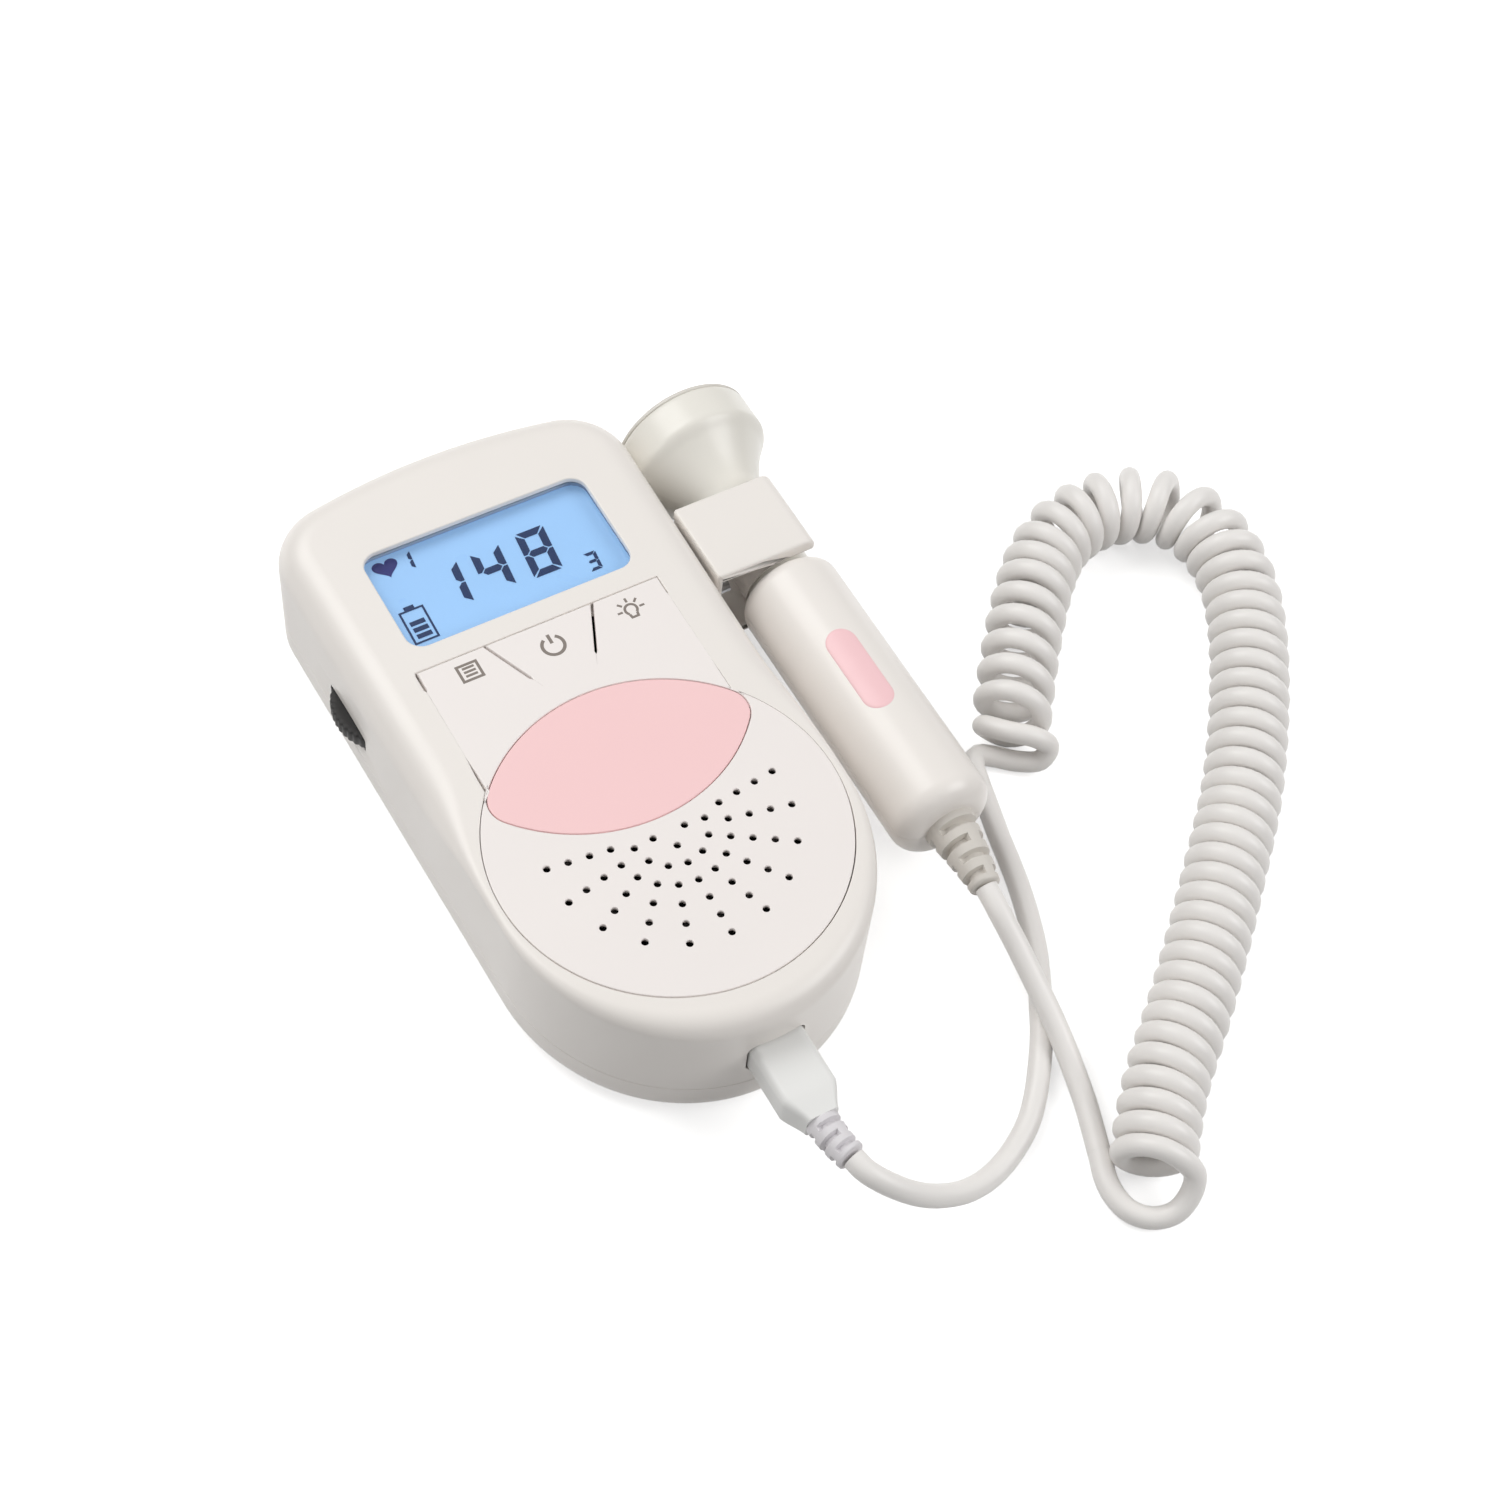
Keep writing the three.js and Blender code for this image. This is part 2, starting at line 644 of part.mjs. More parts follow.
function frontCover() {
  const upper = cut(outerForm.intersect(space(partingHeight + seatGap / 2, bodyHeight + overrun)), innerForm);
  const faceMidZ = bodyHeight - wall / 2;
  const ledge = prism(panelShape(panelLedgeRoot), ledgeLowZ, faceMidZ, panelArcSteps);
  const pillars = screwPlaces.map(([x, y]) => rodZ(pillarRadius, x, y, bossHeight + seatGap, faceMidZ, 14));
  const hollow = prism(panelShape(-panelLedgeWidth), ledgeLowZ - overrun, bodyHeight + overrun, panelArcSteps);
  const frame = join(cut(join(upper, ledge), hollow), ...pillars);
  const lipRoom = cut(
    bodySlice(lipThickness, partingHeight - overrun, partingHeight + lipHeight + seatGap),
    bodySlice(wall + seatGap, partingHeight - overrun * 2, partingHeight + lipHeight + overrun),
  );
  const panelPocket = prism(panelShape(seatGap), ledgeTopZ, bodyHeight + overrun, panelArcSteps);
  const keyHalfWidth = keyBankHalfWidth + seatGap;
  const keyRoom = slab(-keyHalfWidth, keyHalfWidth, panelTopY, keyTopY + seatGap, ledgeTopZ, bodyHeight + overrun);
  const keyWindowLow = keyRootY + panelLedgeRoot;
  const keyWindow = slab(-keyHalfWidth, keyHalfWidth, keyWindowLow, keyTopY + seatGap, ledgeLowZ, bodyHeight);
  const windowCut = displayPrism(0, paneLowZ - overrun, bodyHeight + overrun);
  const paneRoom = displayPrism(paneMargin + seatGap, paneLowZ - overrun, paneTopZ + seatGap);
  const bores = screwPlaces.map(([x, y]) => {
    return rodZ(screwShankRadius + seatGap, x, y, partingHeight - overrun, screwTipZ + overrun, 12);
  });
  const flank = flankHalfWidth(clipMidY);
  const clipBores = clipScrewPlaces().map((y) => {
    return rodX(clipScrewRadius + seatGap, y, probeZ, flank - wall * 2, flank + overrun, 12);
  });
  const jackHole = rodY(jackPanelRadius, jackCentreX, jackMidZ, jackHighY - overrun, bodyHighY + overrun, 20);
  const tools = [lipRoom, panelPocket, keyRoom, keyWindow, windowCut, paneRoom, plugOpening(), jackHole];
  return cut(frame.intersect(outerForm), ...tools, ...bores, ...clipBores, ...dialCuts());
}

// Rear cover with the cell bay, screw bosses and posts.
const bayHalfWidth = cellSpacing / 2 + cellRadius + seatGap;
const bayLength = cellLength + cellNubLength + springLength + contactThickness * 2 + seatGap * 5;
const bayLowY = bayCentreY - bayLength / 2;
const bayHighY = bayCentreY + bayLength / 2;
const doorTopZ = doorSink + doorThickness;
const doorSeatZ = doorTopZ + seatGap;
const doorHalfWidth = bayHalfWidth + doorRim;
const doorHalfLength = bayLength / 2 + doorRim;
const doorLowY = bayCentreY - doorHalfLength;
const doorHighY = bayCentreY + doorHalfLength;
const tongueLowZ = doorSink + doorThickness / 2;
const latchY = doorLowY + doorLatchThickness / 2 + seatGap;
const socketLowZ = socketZ - socketHeight / 2;
const socketBoardTop = socketLowZ - seatGap;
const socketBoardLow = socketBoardTop - boardThickness;
const socketFrontY = endWallY(socketWidth / 2) + seatGap;
const socketBoardFrontY = endWallY(socketBoardWidth / 2) + seatGap;

function doorTongueRoom(side) {
  const x = (side * doorTongueSpacing) / 2;
  const halfWidth = doorTongueWidth / 2 + runGap;
  const [back, reach] = [doorHighY - doorTongueRoomBack, doorHighY + doorTongueLength + runGap];
  return slab(x - halfWidth, x + halfWidth, back, reach, tongueLowZ - seatGap, doorSeatZ + doorTongueRoomRise);
}

function rearCover() {
  const lower = cut(outerForm.intersect(space(-overrun, partingHeight - seatGap / 2)), innerForm);
  const lipBase = partingHeight - lipHeight;
  const lipOuter = bodySlice(lipThickness + seatGap, lipBase, partingHeight + lipHeight);
  const lip = cut(lipOuter, bodySlice(wall, lipBase - overrun, partingHeight + lipHeight + overrun));
  const bayOuterX = bayHalfWidth + bayWall;
  const bay = slab(-bayOuterX, bayOuterX, bayLowY - bayWall, bayHighY + bayWall, doorSeatZ, bayTopZ);
  const padX = doorHalfWidth + doorRim;
  const floorPad = slab(-padX, padX, doorLowY - doorRim, doorHighY + doorRim, wall / 2, doorSeatZ + bayWall);
  const bosses = screwPlaces.map(([x, y]) => rodZ(bossRadius, x, y, wall / 2, bossHeight, 14));
  const postY = socketBoardFrontY + socketBoardLength / 2;
  const posts = [-1, 1].map((side) => {
    return rodZ(socketPostRadius, (side * socketPostSpacing) / 2, postY, wall / 2, socketBoardLow - seatGap, 12);
  });
  const bayRoom = slab(-bayHalfWidth, bayHalfWidth, bayLowY, bayHighY, -overrun, bayTopZ - bayWall);
  const doorOutline = [doorHalfWidth + seatGap, doorHalfLength + seatGap, doorCorner + seatGap, 0, bayCentreY];
  const doorRoom = prism(roundedRectangle(...doorOutline), -overrun, doorSeatZ, 2);
  const latchHalf = doorLatchWidth / 2 + seatGap;
  const latchHigh = doorTopZ + doorLatchHeight + runGap;
  const latchRoom = slab(-latchHalf, latchHalf, doorLowY, latchY + doorLatchThickness / 2 + runGap, 0, latchHigh);
  const gripDrop = doorGripDepth - doorGripRadius;
  const grip = rodX(doorGripRadius, doorLowY, gripDrop, -doorGripWidth / 2, doorGripWidth / 2, 40);
  const counterbores = screwPlaces.map(([x, y]) => {
    return rodZ(screwHeadRadius + seatGap, x, y, -overrun, screwHeadTop + seatGap, 14);
  });
  const bores = screwPlaces.map(([x, y]) => rodZ(screwShankRadius + seatGap, x, y, 0, bossHeight + overrun, 12));
  const rooms = [bayRoom, doorRoom, latchRoom, grip, doorTongueRoom(-1), doorTongueRoom(1)];
  const whole = join(lower, lip, bay, floorPad, ...bosses, ...posts).intersect(outerForm);
  return cut(whole, ...rooms, ...counterbores, ...bores);
}

function facePanel() {
  const outline = new THREE.Shape(panelShape(0).getPoints(panelArcSteps));
  outline.holes.push(...grilleHoles());
  const plate = prism(outline, panelLowZ, bodyHeight, 3);
  const badgeRoom = prism(lensShape(seatGap), bodyHeight - badgeThickness - badgeSink - seatGap, bodyHeight + overrun, 9);
  const ringOuter = speakerRadius + seatGap + speakerRingWall;
  const ring = cut(
    rodZ(ringOuter, 0, 0, panelLowZ - speakerRingDepth, panelLowZ + panelThickness / 2, 28),
    rodZ(speakerRadius + seatGap, 0, 0, panelLowZ - speakerRingDepth - overrun, bodyHeight, 28),
  );
  const lip = panelShape(overrun);
  lip.holes.push(new THREE.Path(panelShape(-panelEdgeBevel).getPoints(panelArcSteps)));
  const bevel = prism(lip, bodyHeight - panelEdgeBevel, bodyHeight + overrun, panelArcSteps);
  return cut(join(plate, ring), badgeRoom, bevel);
}

addPiece(assembly, "front_cover", frontCover(), creamPlastic);
addPiece(assembly, "rear_cover", rearCover(), creamPlastic);
addPiece(assembly, "face_panel", facePanel(), creamPlastic);

// Keys: each tongue springs at its root, next to the panel's upper edge.
const keyLowZ = bodyHeight - keyThickness;
const switchTopZ = boardTop + seatGap + boardRoom * switchHeightShare;
const capTopZ = switchTopZ + boardRoom * switchCapHeightShare;
const postLowZ = capTopZ + runGap;
const keyPlaces = [
  { name: "menu", x: -keyPostOffset, left: -1, right: -1 },
  { name: "power", x: 0, left: -1, right: 1 },
  { name: "light", x: keyPostOffset, left: 1, right: 1 },
];

function keySolid(place) {
  const edge = (side, outer) => {
    if (outer) return [side * keyBankHalfWidth, side * keyBankHalfWidth];
    return [side * keyDividerRoot, side * keyDividerTop];
  };
  const [leftRoot, leftTop] = edge(place.left, place.name === "menu");
  const [rightRoot, rightTop] = edge(place.right, place.name === "light");
  const half = seatGap / 2;
  const shape = new THREE.Shape();
  shape.moveTo(leftRoot + half, keyRootY);
  shape.lineTo(rightRoot - half, keyRootY);
  shape.lineTo(rightTop - half, keyTopY);
  shape.lineTo(leftTop + half, keyTopY);
  shape.closePath();
  const plate = prism(shape, keyLowZ, bodyHeight);
  return join(plate, rodZ(keyPostRadius, place.x, keyRootY + keyPostRise, postLowZ, keyLowZ + overrun, 12));
}

keyPlaces.forEach((place) => addPiece(assembly, `key_${place.name}`, keySolid(place), creamPlastic));

// Badge and display.
const badgeTopZ = bodyHeight - badgeSink;
addPiece(assembly, "badge_plate", prism(lensShape(0), badgeTopZ - badgeThickness, badgeTopZ, 9), pinkPlastic);
addPiece(assembly, "lcd_window", displayPrism(paneMargin, paneLowZ, paneTopZ), clearPlastic);
addPiece(assembly, "lcd_glass", displayPrism(glassMargin, backlightTopZ + seatGap, glassTopZ), displayBlue);
addPiece(assembly, "lcd_backlight", displayPrism(glassMargin, backlightLowZ, backlightTopZ), whitePlastic);

function displayFrame() {
  const roomMargin = glassMargin + seatGap;
  const frameLowZ = boardTop + seatGap;
  const outer = displayPrism(roomMargin + displayFrameWall, frameLowZ, frameTopZ);
  const room = displayPrism(roomMargin, backlightLowZ - seatGap, frameTopZ + overrun);
  return cut(outer, room, displayPrism(-displayFrameWall, frameLowZ - overrun, frameTopZ));
}

addPiece(assembly, "lcd_frame", displayFrame(), blackPlastic);

// Main board with its switches, potentiometer and jack.
function mainBoard() {
  const shape = new THREE.Shape();
  shape.moveTo(-boardHalfWidth, boardLowY);
  shape.lineTo(boardHalfWidth, boardLowY);
  shape.lineTo(boardHalfWidth, boardShoulderY);
  shape.lineTo(boardNeckHalfWidth, boardShoulderY);
  shape.lineTo(boardNeckHalfWidth, boardHighY);
  shape.lineTo(-boardNeckHalfWidth, boardHighY);
  shape.lineTo(-boardNeckHalfWidth, boardShoulderY);
  shape.lineTo(-boardHalfWidth, boardShoulderY);
  shape.closePath();
  return prism(shape, boardLowZ, boardTop);
}

addPiece(assembly, "main_board", mainBoard(), boardGreen);

keyPlaces.forEach(({ name, x }) => {
  const [half, y] = [switchSize / 2, keyRootY + keyPostRise];
  const box = slab(x - half, x + half, y - half, y + half, boardTop + seatGap, switchTopZ);
  const cap = rodZ(switchCapRadius, x, y, switchTopZ - overrun, capTopZ, 12);
  addPiece(assembly, `${name}_switch`, join(box, cap), blackPlastic);
});

function earphoneJack() {
  const [half, lowZ] = [jackWidth / 2, boardTop + seatGap];
  const lowY = jackHighY - jackLength;
  const box = slab(jackCentreX - half, jackCentreX + half, lowY, jackHighY, lowZ, lowZ + jackHeight);
  return cut(box, rodY(jackBoreRadius, jackCentreX, jackMidZ, jackHighY - jackBoreDepth, jackHighY + overrun, 20));
}

addPiece(assembly, "earphone_jack", earphoneJack(), blackPlastic);

// Volume wheel, turned by its rim, on the flatted shaft of the potentiometer.
function shaftSolid(radius, z0, z1) {
  const rod = rodZ(radius, dialCentreX, dialCentreY, z0, z1, 16);
  const flatY = dialCentreY + potShaftRadius - potShaftFlat + (radius - potShaftRadius);
  return cut(rod, slab(dialCentreX - radius, dialCentreX + radius, flatY, flatY + radius, z0 - overrun, z1 + overrun));
}

function volumeDial() {
  const shape = new THREE.Shape();
  for (let i = 0; i < dialRibs * 2; i++) {
    const angle = (Math.PI * i) / dialRibs;
    const radius = dialRadius - (i % 2) * dialRibDepth;
    const [x, y] = [dialCentreX + radius * Math.cos(angle), dialCentreY + radius * Math.sin(angle)];
    if (i === 0) shape.moveTo(x, y);
    else shape.lineTo(x, y);
  }
  shape.closePath();
  const wheel = prism(shape, dialLowZ, dialTopZ);
  return cut(wheel, shaftSolid(potShaftRadius + seatGap, dialLowZ - overrun, dialTopZ + overrun));
}

const potLowZ = dialTopZ + seatGap;
const potHighZ = boardLowZ - seatGap;
const shaftTopZ = (potLowZ + potHighZ) / 2;
const potBody = rodZ(potRadius, dialCentreX, dialCentreY, potLowZ, potHighZ, 24);
const potBore = rodZ(potShaftRadius + seatGap, dialCentreX, dialCentreY, potLowZ - overrun, shaftTopZ + seatGap, 16);
addPiece(assembly, "volume_dial", volumeDial(), blackPlastic);
addPiece(assembly, "volume_shaft", shaftSolid(potShaftRadius, dialLowZ, shaftTopZ), steel);
addPiece(assembly, "volume_pot", cut(potBody, potBore), steel);

// Speaker, hung in the ring under the panel.
const gasketTopZ = panelLowZ - seatGap;
const flangeTopZ = gasketTopZ - gasketThickness - seatGap;
const basketLowZ = flangeTopZ - speakerDepth;
const flangeInner = speakerRadius - speakerFlangeWidth;

function speakerFrame() {
  const flangeLowZ = flangeTopZ - speakerFlangeThickness;
  const coneWallInner = speakerCupRadius - speakerSheet;
  return turnedZ([
    [coneCapRadius, basketLowZ], [speakerCupRadius, basketLowZ], [flangeInner + speakerSheet, flangeLowZ],
    [speakerRadius, flangeLowZ], [speakerRadius, flangeTopZ], [flangeInner, flangeTopZ],
    [flangeInner, flangeLowZ], [coneWallInner, basketLowZ + speakerSheet],
    [coneCapRadius, basketLowZ + speakerSheet], [coneCapRadius, basketLowZ],
  ]);
}

function speakerCone() {
  const rim = flangeInner - seatGap;
  const rimZ = flangeTopZ - seatGap;
  const dishZ = basketLowZ + speakerSheet * 2 + coneThickness;
  const domeZ = dishZ + speakerSheet;
  return turnedZ([
    [0, domeZ - coneThickness], [coneCapRadius, dishZ - coneThickness], [rim, rimZ - coneThickness],
    [rim, rimZ], [coneCapRadius, dishZ], [coneCapRadius / 2, domeZ], [0, domeZ],
  ]);
}

const gasketHole = rodZ(flangeInner, 0, 0, flangeTopZ, gasketTopZ + overrun, 24);
const gasket = cut(rodZ(speakerRadius, 0, 0, gasketTopZ - gasketThickness, gasketTopZ, 24), gasketHole);
const magnetTopZ = basketLowZ - seatGap;
addPiece(assembly, "speaker_gasket", gasket, foamGrey);
addPiece(assembly, "speaker_frame", speakerFrame(), steel);
addPiece(assembly, "speaker_cone", speakerCone(), paperBlack);
addPiece(assembly, "speaker_magnet", rodZ(magnetRadius, 0, 0, magnetTopZ - magnetHeight, magnetTopZ, 28), magnetGrey);

// Cells side by side, the left one with its nub up and the right one with its nub down.
const cellZ = doorTopZ + seatGap + cellRadius;
const lowContactY = bayLowY + seatGap;
const highContactY = bayHighY - seatGap - contactThickness;
const lowFaceY = lowContactY + contactThickness + seatGap;
const highFaceY = highContactY - seatGap;

function cellSolid(side) {
  const [spring, nub] = [springLength + seatGap, cellNubLength];
  const lowY = lowFaceY + (side < 0 ? spring : nub);
  const body = rodY(cellRadius, (side * cellSpacing) / 2, cellZ, lowY, lowY + cellLength, 20);
  const nubY = side < 0 ? lowY + cellLength - overrun : lowY - nub;
  return join(body, rodY(cellNubRadius, (side * cellSpacing) / 2, cellZ, nubY, nubY + nub + overrun, 12));
}

// A cell's spring: its turns narrow from the contact plate to the cell.
function cellSpring(side) {
  const direction = side < 0 ? 1 : -1;
  const startY = side < 0 ? lowFaceY : highFaceY;
  const path = [];
  const steps = springTurns * springSteps;
  for (let i = 0; i <= steps; i++) {
    const share = i / steps;
    const angle = Math.PI * 2 * springTurns * share;
    const radius = springBaseRadius + (springTipRadius - springBaseRadius) * share;
    const y = startY + direction * (springWire / 2 + (springLength - springWire) * share);
    const x = (side * cellSpacing) / 2 + radius * Math.cos(angle);
    path.push(new THREE.Vector3(x, y, cellZ + radius * Math.sin(angle)));
  }
  return tube(path, springWire / 2, 4);
}

// A round tube through a path's points, with a closed flat face at either end.
function tube(path, radius, sides) {
  const normal = new THREE.Vector3(0, 0, 1);
  const rings = path.map((point, i) => {
    const ahead = path[Math.min(i + 1, path.length - 1)];
    const tangent = ahead.clone().sub(path[Math.max(i - 1, 0)]).normalize();
    if (Math.abs(tangent.dot(normal)) > 1 - 1e-3) normal.set(1, 0, 0);
    normal.addScaledVector(tangent, -tangent.dot(normal)).normalize();
    const binormal = new THREE.Vector3().crossVectors(tangent, normal);
    return Array.from({ length: sides }, (_, k) => {
      const angle = (Math.PI * 2 * k) / sides;
      const spoke = normal.clone().multiplyScalar(radius * Math.cos(angle));
      return spoke.addScaledVector(binormal, radius * Math.sin(angle)).add(point);
    });
  });
  return skin(rings);
}

function contactPlate(x, halfWidth, y) {
  const half = contactHeight / 2;
  return slab(x - halfWidth, x + halfWidth, y, y + contactThickness, cellZ - half, cellZ + half);
}

const halfContact = contactWidth / 2;
addPiece(assembly, "battery_left", cellSolid(-1), cellJacket);
addPiece(assembly, "battery_right", cellSolid(1), cellJacket);
addPiece(assembly, "contact_negative", contactPlate(-cellSpacing / 2, halfContact, lowContactY), steel);
addPiece(assembly, "contact_positive", contactPlate(cellSpacing / 2, halfContact, lowContactY), steel);
addPiece(assembly, "contact_link", contactPlate(0, cellSpacing / 2 + halfContact, highContactY), steel);
addPiece(assembly, "spring_negative", cellSpring(-1), steel);
addPiece(assembly, "spring_link", cellSpring(1), steel);

function batteryDoor() {
  const plate = prism(roundedRectangle(doorHalfWidth, doorHalfLength, doorCorner, 0, bayCentreY), doorSink, doorTopZ, 2);
  const tongues = [-1, 1].map((side) => {
    const [x, half] = [(side * doorTongueSpacing) / 2, doorTongueWidth / 2];
    return slab(x - half, x + half, doorHighY - doorCorner, doorHighY + doorTongueLength, tongueLowZ, doorTopZ);
  });
  const [half, thick] = [doorLatchWidth / 2, doorLatchThickness / 2];
  const latch = slab(-half, half, latchY - thick, latchY + thick, tongueLowZ, doorTopZ + doorLatchHeight);
  return join(plate, ...tongues, latch);
}

addPiece(assembly, "battery_door", batteryDoor(), creamPlastic);

screwPlaces.forEach(([x, y], i) => {
  const head = rodZ(screwHeadRadius, x, y, screwSink, screwHeadTop, 12);
  const shank = rodZ(screwShankRadius, x, y, screwHeadTop - overrun, screwTipZ, 8);
  addPiece(assembly, `housing_screw_${i + 1}`, join(head, shank), steel);
});

// Socket for the plug, on its own small board.
const shellBackY = plugFrontY - plugShellSeat;

function probeSocket() {
  const [halfWidth, halfHeight] = [socketWidth / 2, socketHeight / 2];
  const backY = socketFrontY + socketLength;
  const box = slab(-halfWidth, halfWidth, socketFrontY, backY, socketZ - halfHeight, socketZ + halfHeight);
  const [roomX, roomZ] = [plugShellWidth / 2 + seatGap, plugShellHeight / 2 + seatGap];
  const roomBackY = plugFrontY + plugShellLength + seatGap;
  return cut(box, slab(-roomX, roomX, socketFrontY - overrun, roomBackY, socketZ - roomZ, socketZ + roomZ));
}

const socketBoardX = socketBoardWidth / 2;
const socketBoardBackY = socketBoardFrontY + socketBoardLength;
const socketBoard = slab(
  -socketBoardX, socketBoardX, socketBoardFrontY, socketBoardBackY, socketBoardLow, socketBoardTop,
);
addPiece(assembly, "probe_socket", probeSocket(), blackPlastic);
addPiece(assembly, "socket_board", socketBoard, boardGreen);

// Clip block: a slot open to the right holds the probe's neck.
const clipInnerX = flankHalfWidth(clipHighY) + seatGap;
const clipLowZ = probeZ - clipHeight / 2;

function probeClip() {
  const [halfWidth, halfHeight] = [(clipOuterX - clipInnerX) / 2, clipHeight / 2];
  const midX = (clipInnerX + clipOuterX) / 2;
  const shape = new THREE.Shape();
  const corner = clipCorner;
  shape.moveTo(-halfWidth, -halfHeight);
  shape.lineTo(halfWidth - corner, -halfHeight);
  shape.absarc(halfWidth - corner, corner - halfHeight, corner, -Math.PI / 2, 0);
  shape.absarc(halfWidth - corner, halfHeight - corner, corner, 0, Math.PI / 2);
  shape.lineTo(-halfWidth, halfHeight);
  shape.closePath();
  const depth = clipLength;
  const blank = new THREE.ExtrudeGeometry(shape, { depth, bevelEnabled: false, curveSegments: 4 });
  const block = solidOf(blank.rotateX(Math.PI / 2).translate(midX, clipHighY, probeZ));
  const slotRadius = neckRadius + seatGap;
  const bore = rodY(slotRadius, probeX, probeZ, clipLowY - overrun, clipHighY + overrun, 32);
  const [slotLow, slotHigh] = [probeZ - slotRadius, probeZ + slotRadius];
  const mouth = slab(probeX, clipOuterX + overrun, clipLowY - overrun, clipHighY + overrun, slotLow, slotHigh);
  const bores = clipScrewPlaces().map((y) => {
    return rodX(clipScrewRadius + seatGap, y, probeZ, clipInnerX - overrun, clipInnerX + clipScrewReach + seatGap, 12);
  });
  return cut(block, bore, mouth, ...bores);
}

addPiece(assembly, "probe_clip", probeClip(), creamPlastic);
clipScrewPlaces().forEach((y, i) => {
  const innerX = flankHalfWidth(clipLowY) - wall - seatGap;
  const head = rodX(clipScrewHeadRadius, y, probeZ, innerX - clipScrewHeadHeight, innerX, 14);
  const shank = rodX(clipScrewRadius, y, probeZ, innerX - overrun, clipInnerX + clipScrewReach, 10);
  addPiece(assembly, `clip_screw_${i + 1}`, join(head, shank), steel);
});

// Probe.
const handleTopY = clipLowY - handleTopGap;
const neckEndY = handleTopY - handleWall - neckInsert;
const cavityRadius = handleRadius - handleWall;
const rimTopY = headRimY + headRimLength;

function alongProbe(solid) {
  return solid.translate([probeX, 0, probeZ]);
}

function handleSolid() {
  const profile = [[0, handleEndY]];
  const arc = (centreR, centreY, radius, from, to) => {
    for (let i = 0; i <= 4; i++) {
      const angle = from + ((to - from) * i) / 4;
      profile.push([centreR + radius * Math.cos(angle), centreY + radius * Math.sin(angle)]);
    }
  };
  arc(handleRadius - handleEndRound, handleEndY + handleEndRound, handleEndRound, -Math.PI / 2, 0);
  arc(handleRadius - handleShoulderRound, handleTopY - handleShoulderRound, handleShoulderRound, 0, Math.PI / 2);
  profile.push([0, handleTopY]);
  const outer = turnedY(profile);
  const cavity = rodY(cavityRadius, 0, 0, handleEndY + handleWall * 2, handleTopY - handleWall * 2, 24);
  const neckStart = handleTopY - handleWall * 2 - overrun;
  const neckHole = rodY(neckRadius + seatGap, 0, 0, neckStart, handleTopY + overrun, 28);
  const flangeRoomLow = handleEndY + handleWall;
  const reliefRoom = rodY(reliefFlangeRadius + seatGap, 0, 0, flangeRoomLow, handleEndY + handleWall * 3, 20);
  const reliefHole = rodY(reliefNeckRadius + seatGap, 0, 0, handleEndY - overrun, flangeRoomLow + overrun, 20);
  return cut(outer, cavity, neckHole, reliefRoom, reliefHole);
}

// The pill badge is bent to the handle and set in a pocket of its upper shell.
function pillSolid(innerRadius, outerRadius, grow) {
  const shape = roundedRectangle(pillWidth / 2 + grow, pillLength / 2 + grow, pillWidth / 2 + grow, 0, pillCentreY);
  const stadium = prism(shape, 0, handleRadius * 2, 6);
  const reach = pillLength / 2 + grow + overrun;
  const [lowY, highY] = [pillCentreY - reach, pillCentreY + reach];
  const ring = cut(rodY(outerRadius, 0, 0, lowY, highY, 48), rodY(innerRadius, 0, 0, lowY - 1, highY + 1, 48));
  return ring.intersect(stadium).rotate([0, -THREE.MathUtils.radToDeg(pillTurn), 0]);
}

function handleHalf(upper) {
  const reach = handleRadius * 2;
  const [z0, z1] = upper ? [seatGap / 2, reach] : [-reach, -seatGap / 2];
  const half = handleSolid().intersect(slab(-reach, reach, handleEndY - reach, handleTopY + reach, z0, z1));
  if (!upper) return alongProbe(half);
  return alongProbe(cut(half, pillSolid(handleRadius - pillThickness - seatGap, reach, seatGap)));
}

addPiece(assembly, "probe_handle_upper", handleHalf(true), creamPlastic);
addPiece(assembly, "probe_handle_lower", handleHalf(false), creamPlastic);
addPiece(assembly, "probe_badge", alongProbe(pillSolid(handleRadius - pillThickness, handleRadius, 0)), pinkPlastic);

// Bell head: neck, flare and a cup for the elements, closed by the lens.
const elementRadius = headRadius - headWall - seatGap;
const cupFloorY = rimTopY - lensSeat - seatGap * 3 - elementThickness - holderThickness;

function probeHead() {
  const flangeTopY = handleTopY - handleWall * 2 - seatGap;
  const flangeRadius = cavityRadius - seatGap;
  const neckBore = neckRadius - headWall;
  const profile = [
    [neckBore, neckEndY], [flangeRadius, neckEndY], [flangeRadius, flangeTopY], [neckRadius, flangeTopY],
    [neckRadius, headFlareStart],
  ];
  const flareRun = headRimY - headFlareStart;
  headFlareShares.forEach(([along, out]) => {
    profile.push([neckRadius + (headRadius - neckRadius) * out, headFlareStart + flareRun * along]);
  });
  profile.push([headRadius, headRimY], [headRadius, rimTopY], [headRadius - headWall, rimTopY]);
  profile.push([headRadius - headWall, cupFloorY], [neckBore, cupFloorY], [neckBore, neckEndY]);
  return alongProbe(turnedY(profile, 32));
}

function probeLens() {
  const lensRadius = headRadius - headWall - seatGap;
  const [lowY, highY] = [rimTopY - lensSeat, rimTopY + lensDome];
  const profile = [[0, lowY], [lensRadius, lowY], [lensRadius, rimTopY + seatGap]];
  lensDomeShares.forEach((share) => {
    const rise = (highY - rimTopY - seatGap) * Math.sqrt(1 - share * share);
    profile.push([headRadius * share, rimTopY + seatGap + rise]);
  });
  return alongProbe(turnedY(profile));
}

function halfDisc(radius, lowY, highY, side) {
  const disc = rodY(radius, 0, 0, lowY, highY, 28);
  const reach = radius * 2;
  const edge = (side * elementSplit) / 2;
  const [x0, x1] = side < 0 ? [-reach, edge] : [edge, reach];
  return alongProbe(disc.intersect(slab(x0, x1, lowY - overrun, highY + overrun, -reach, reach)));
}

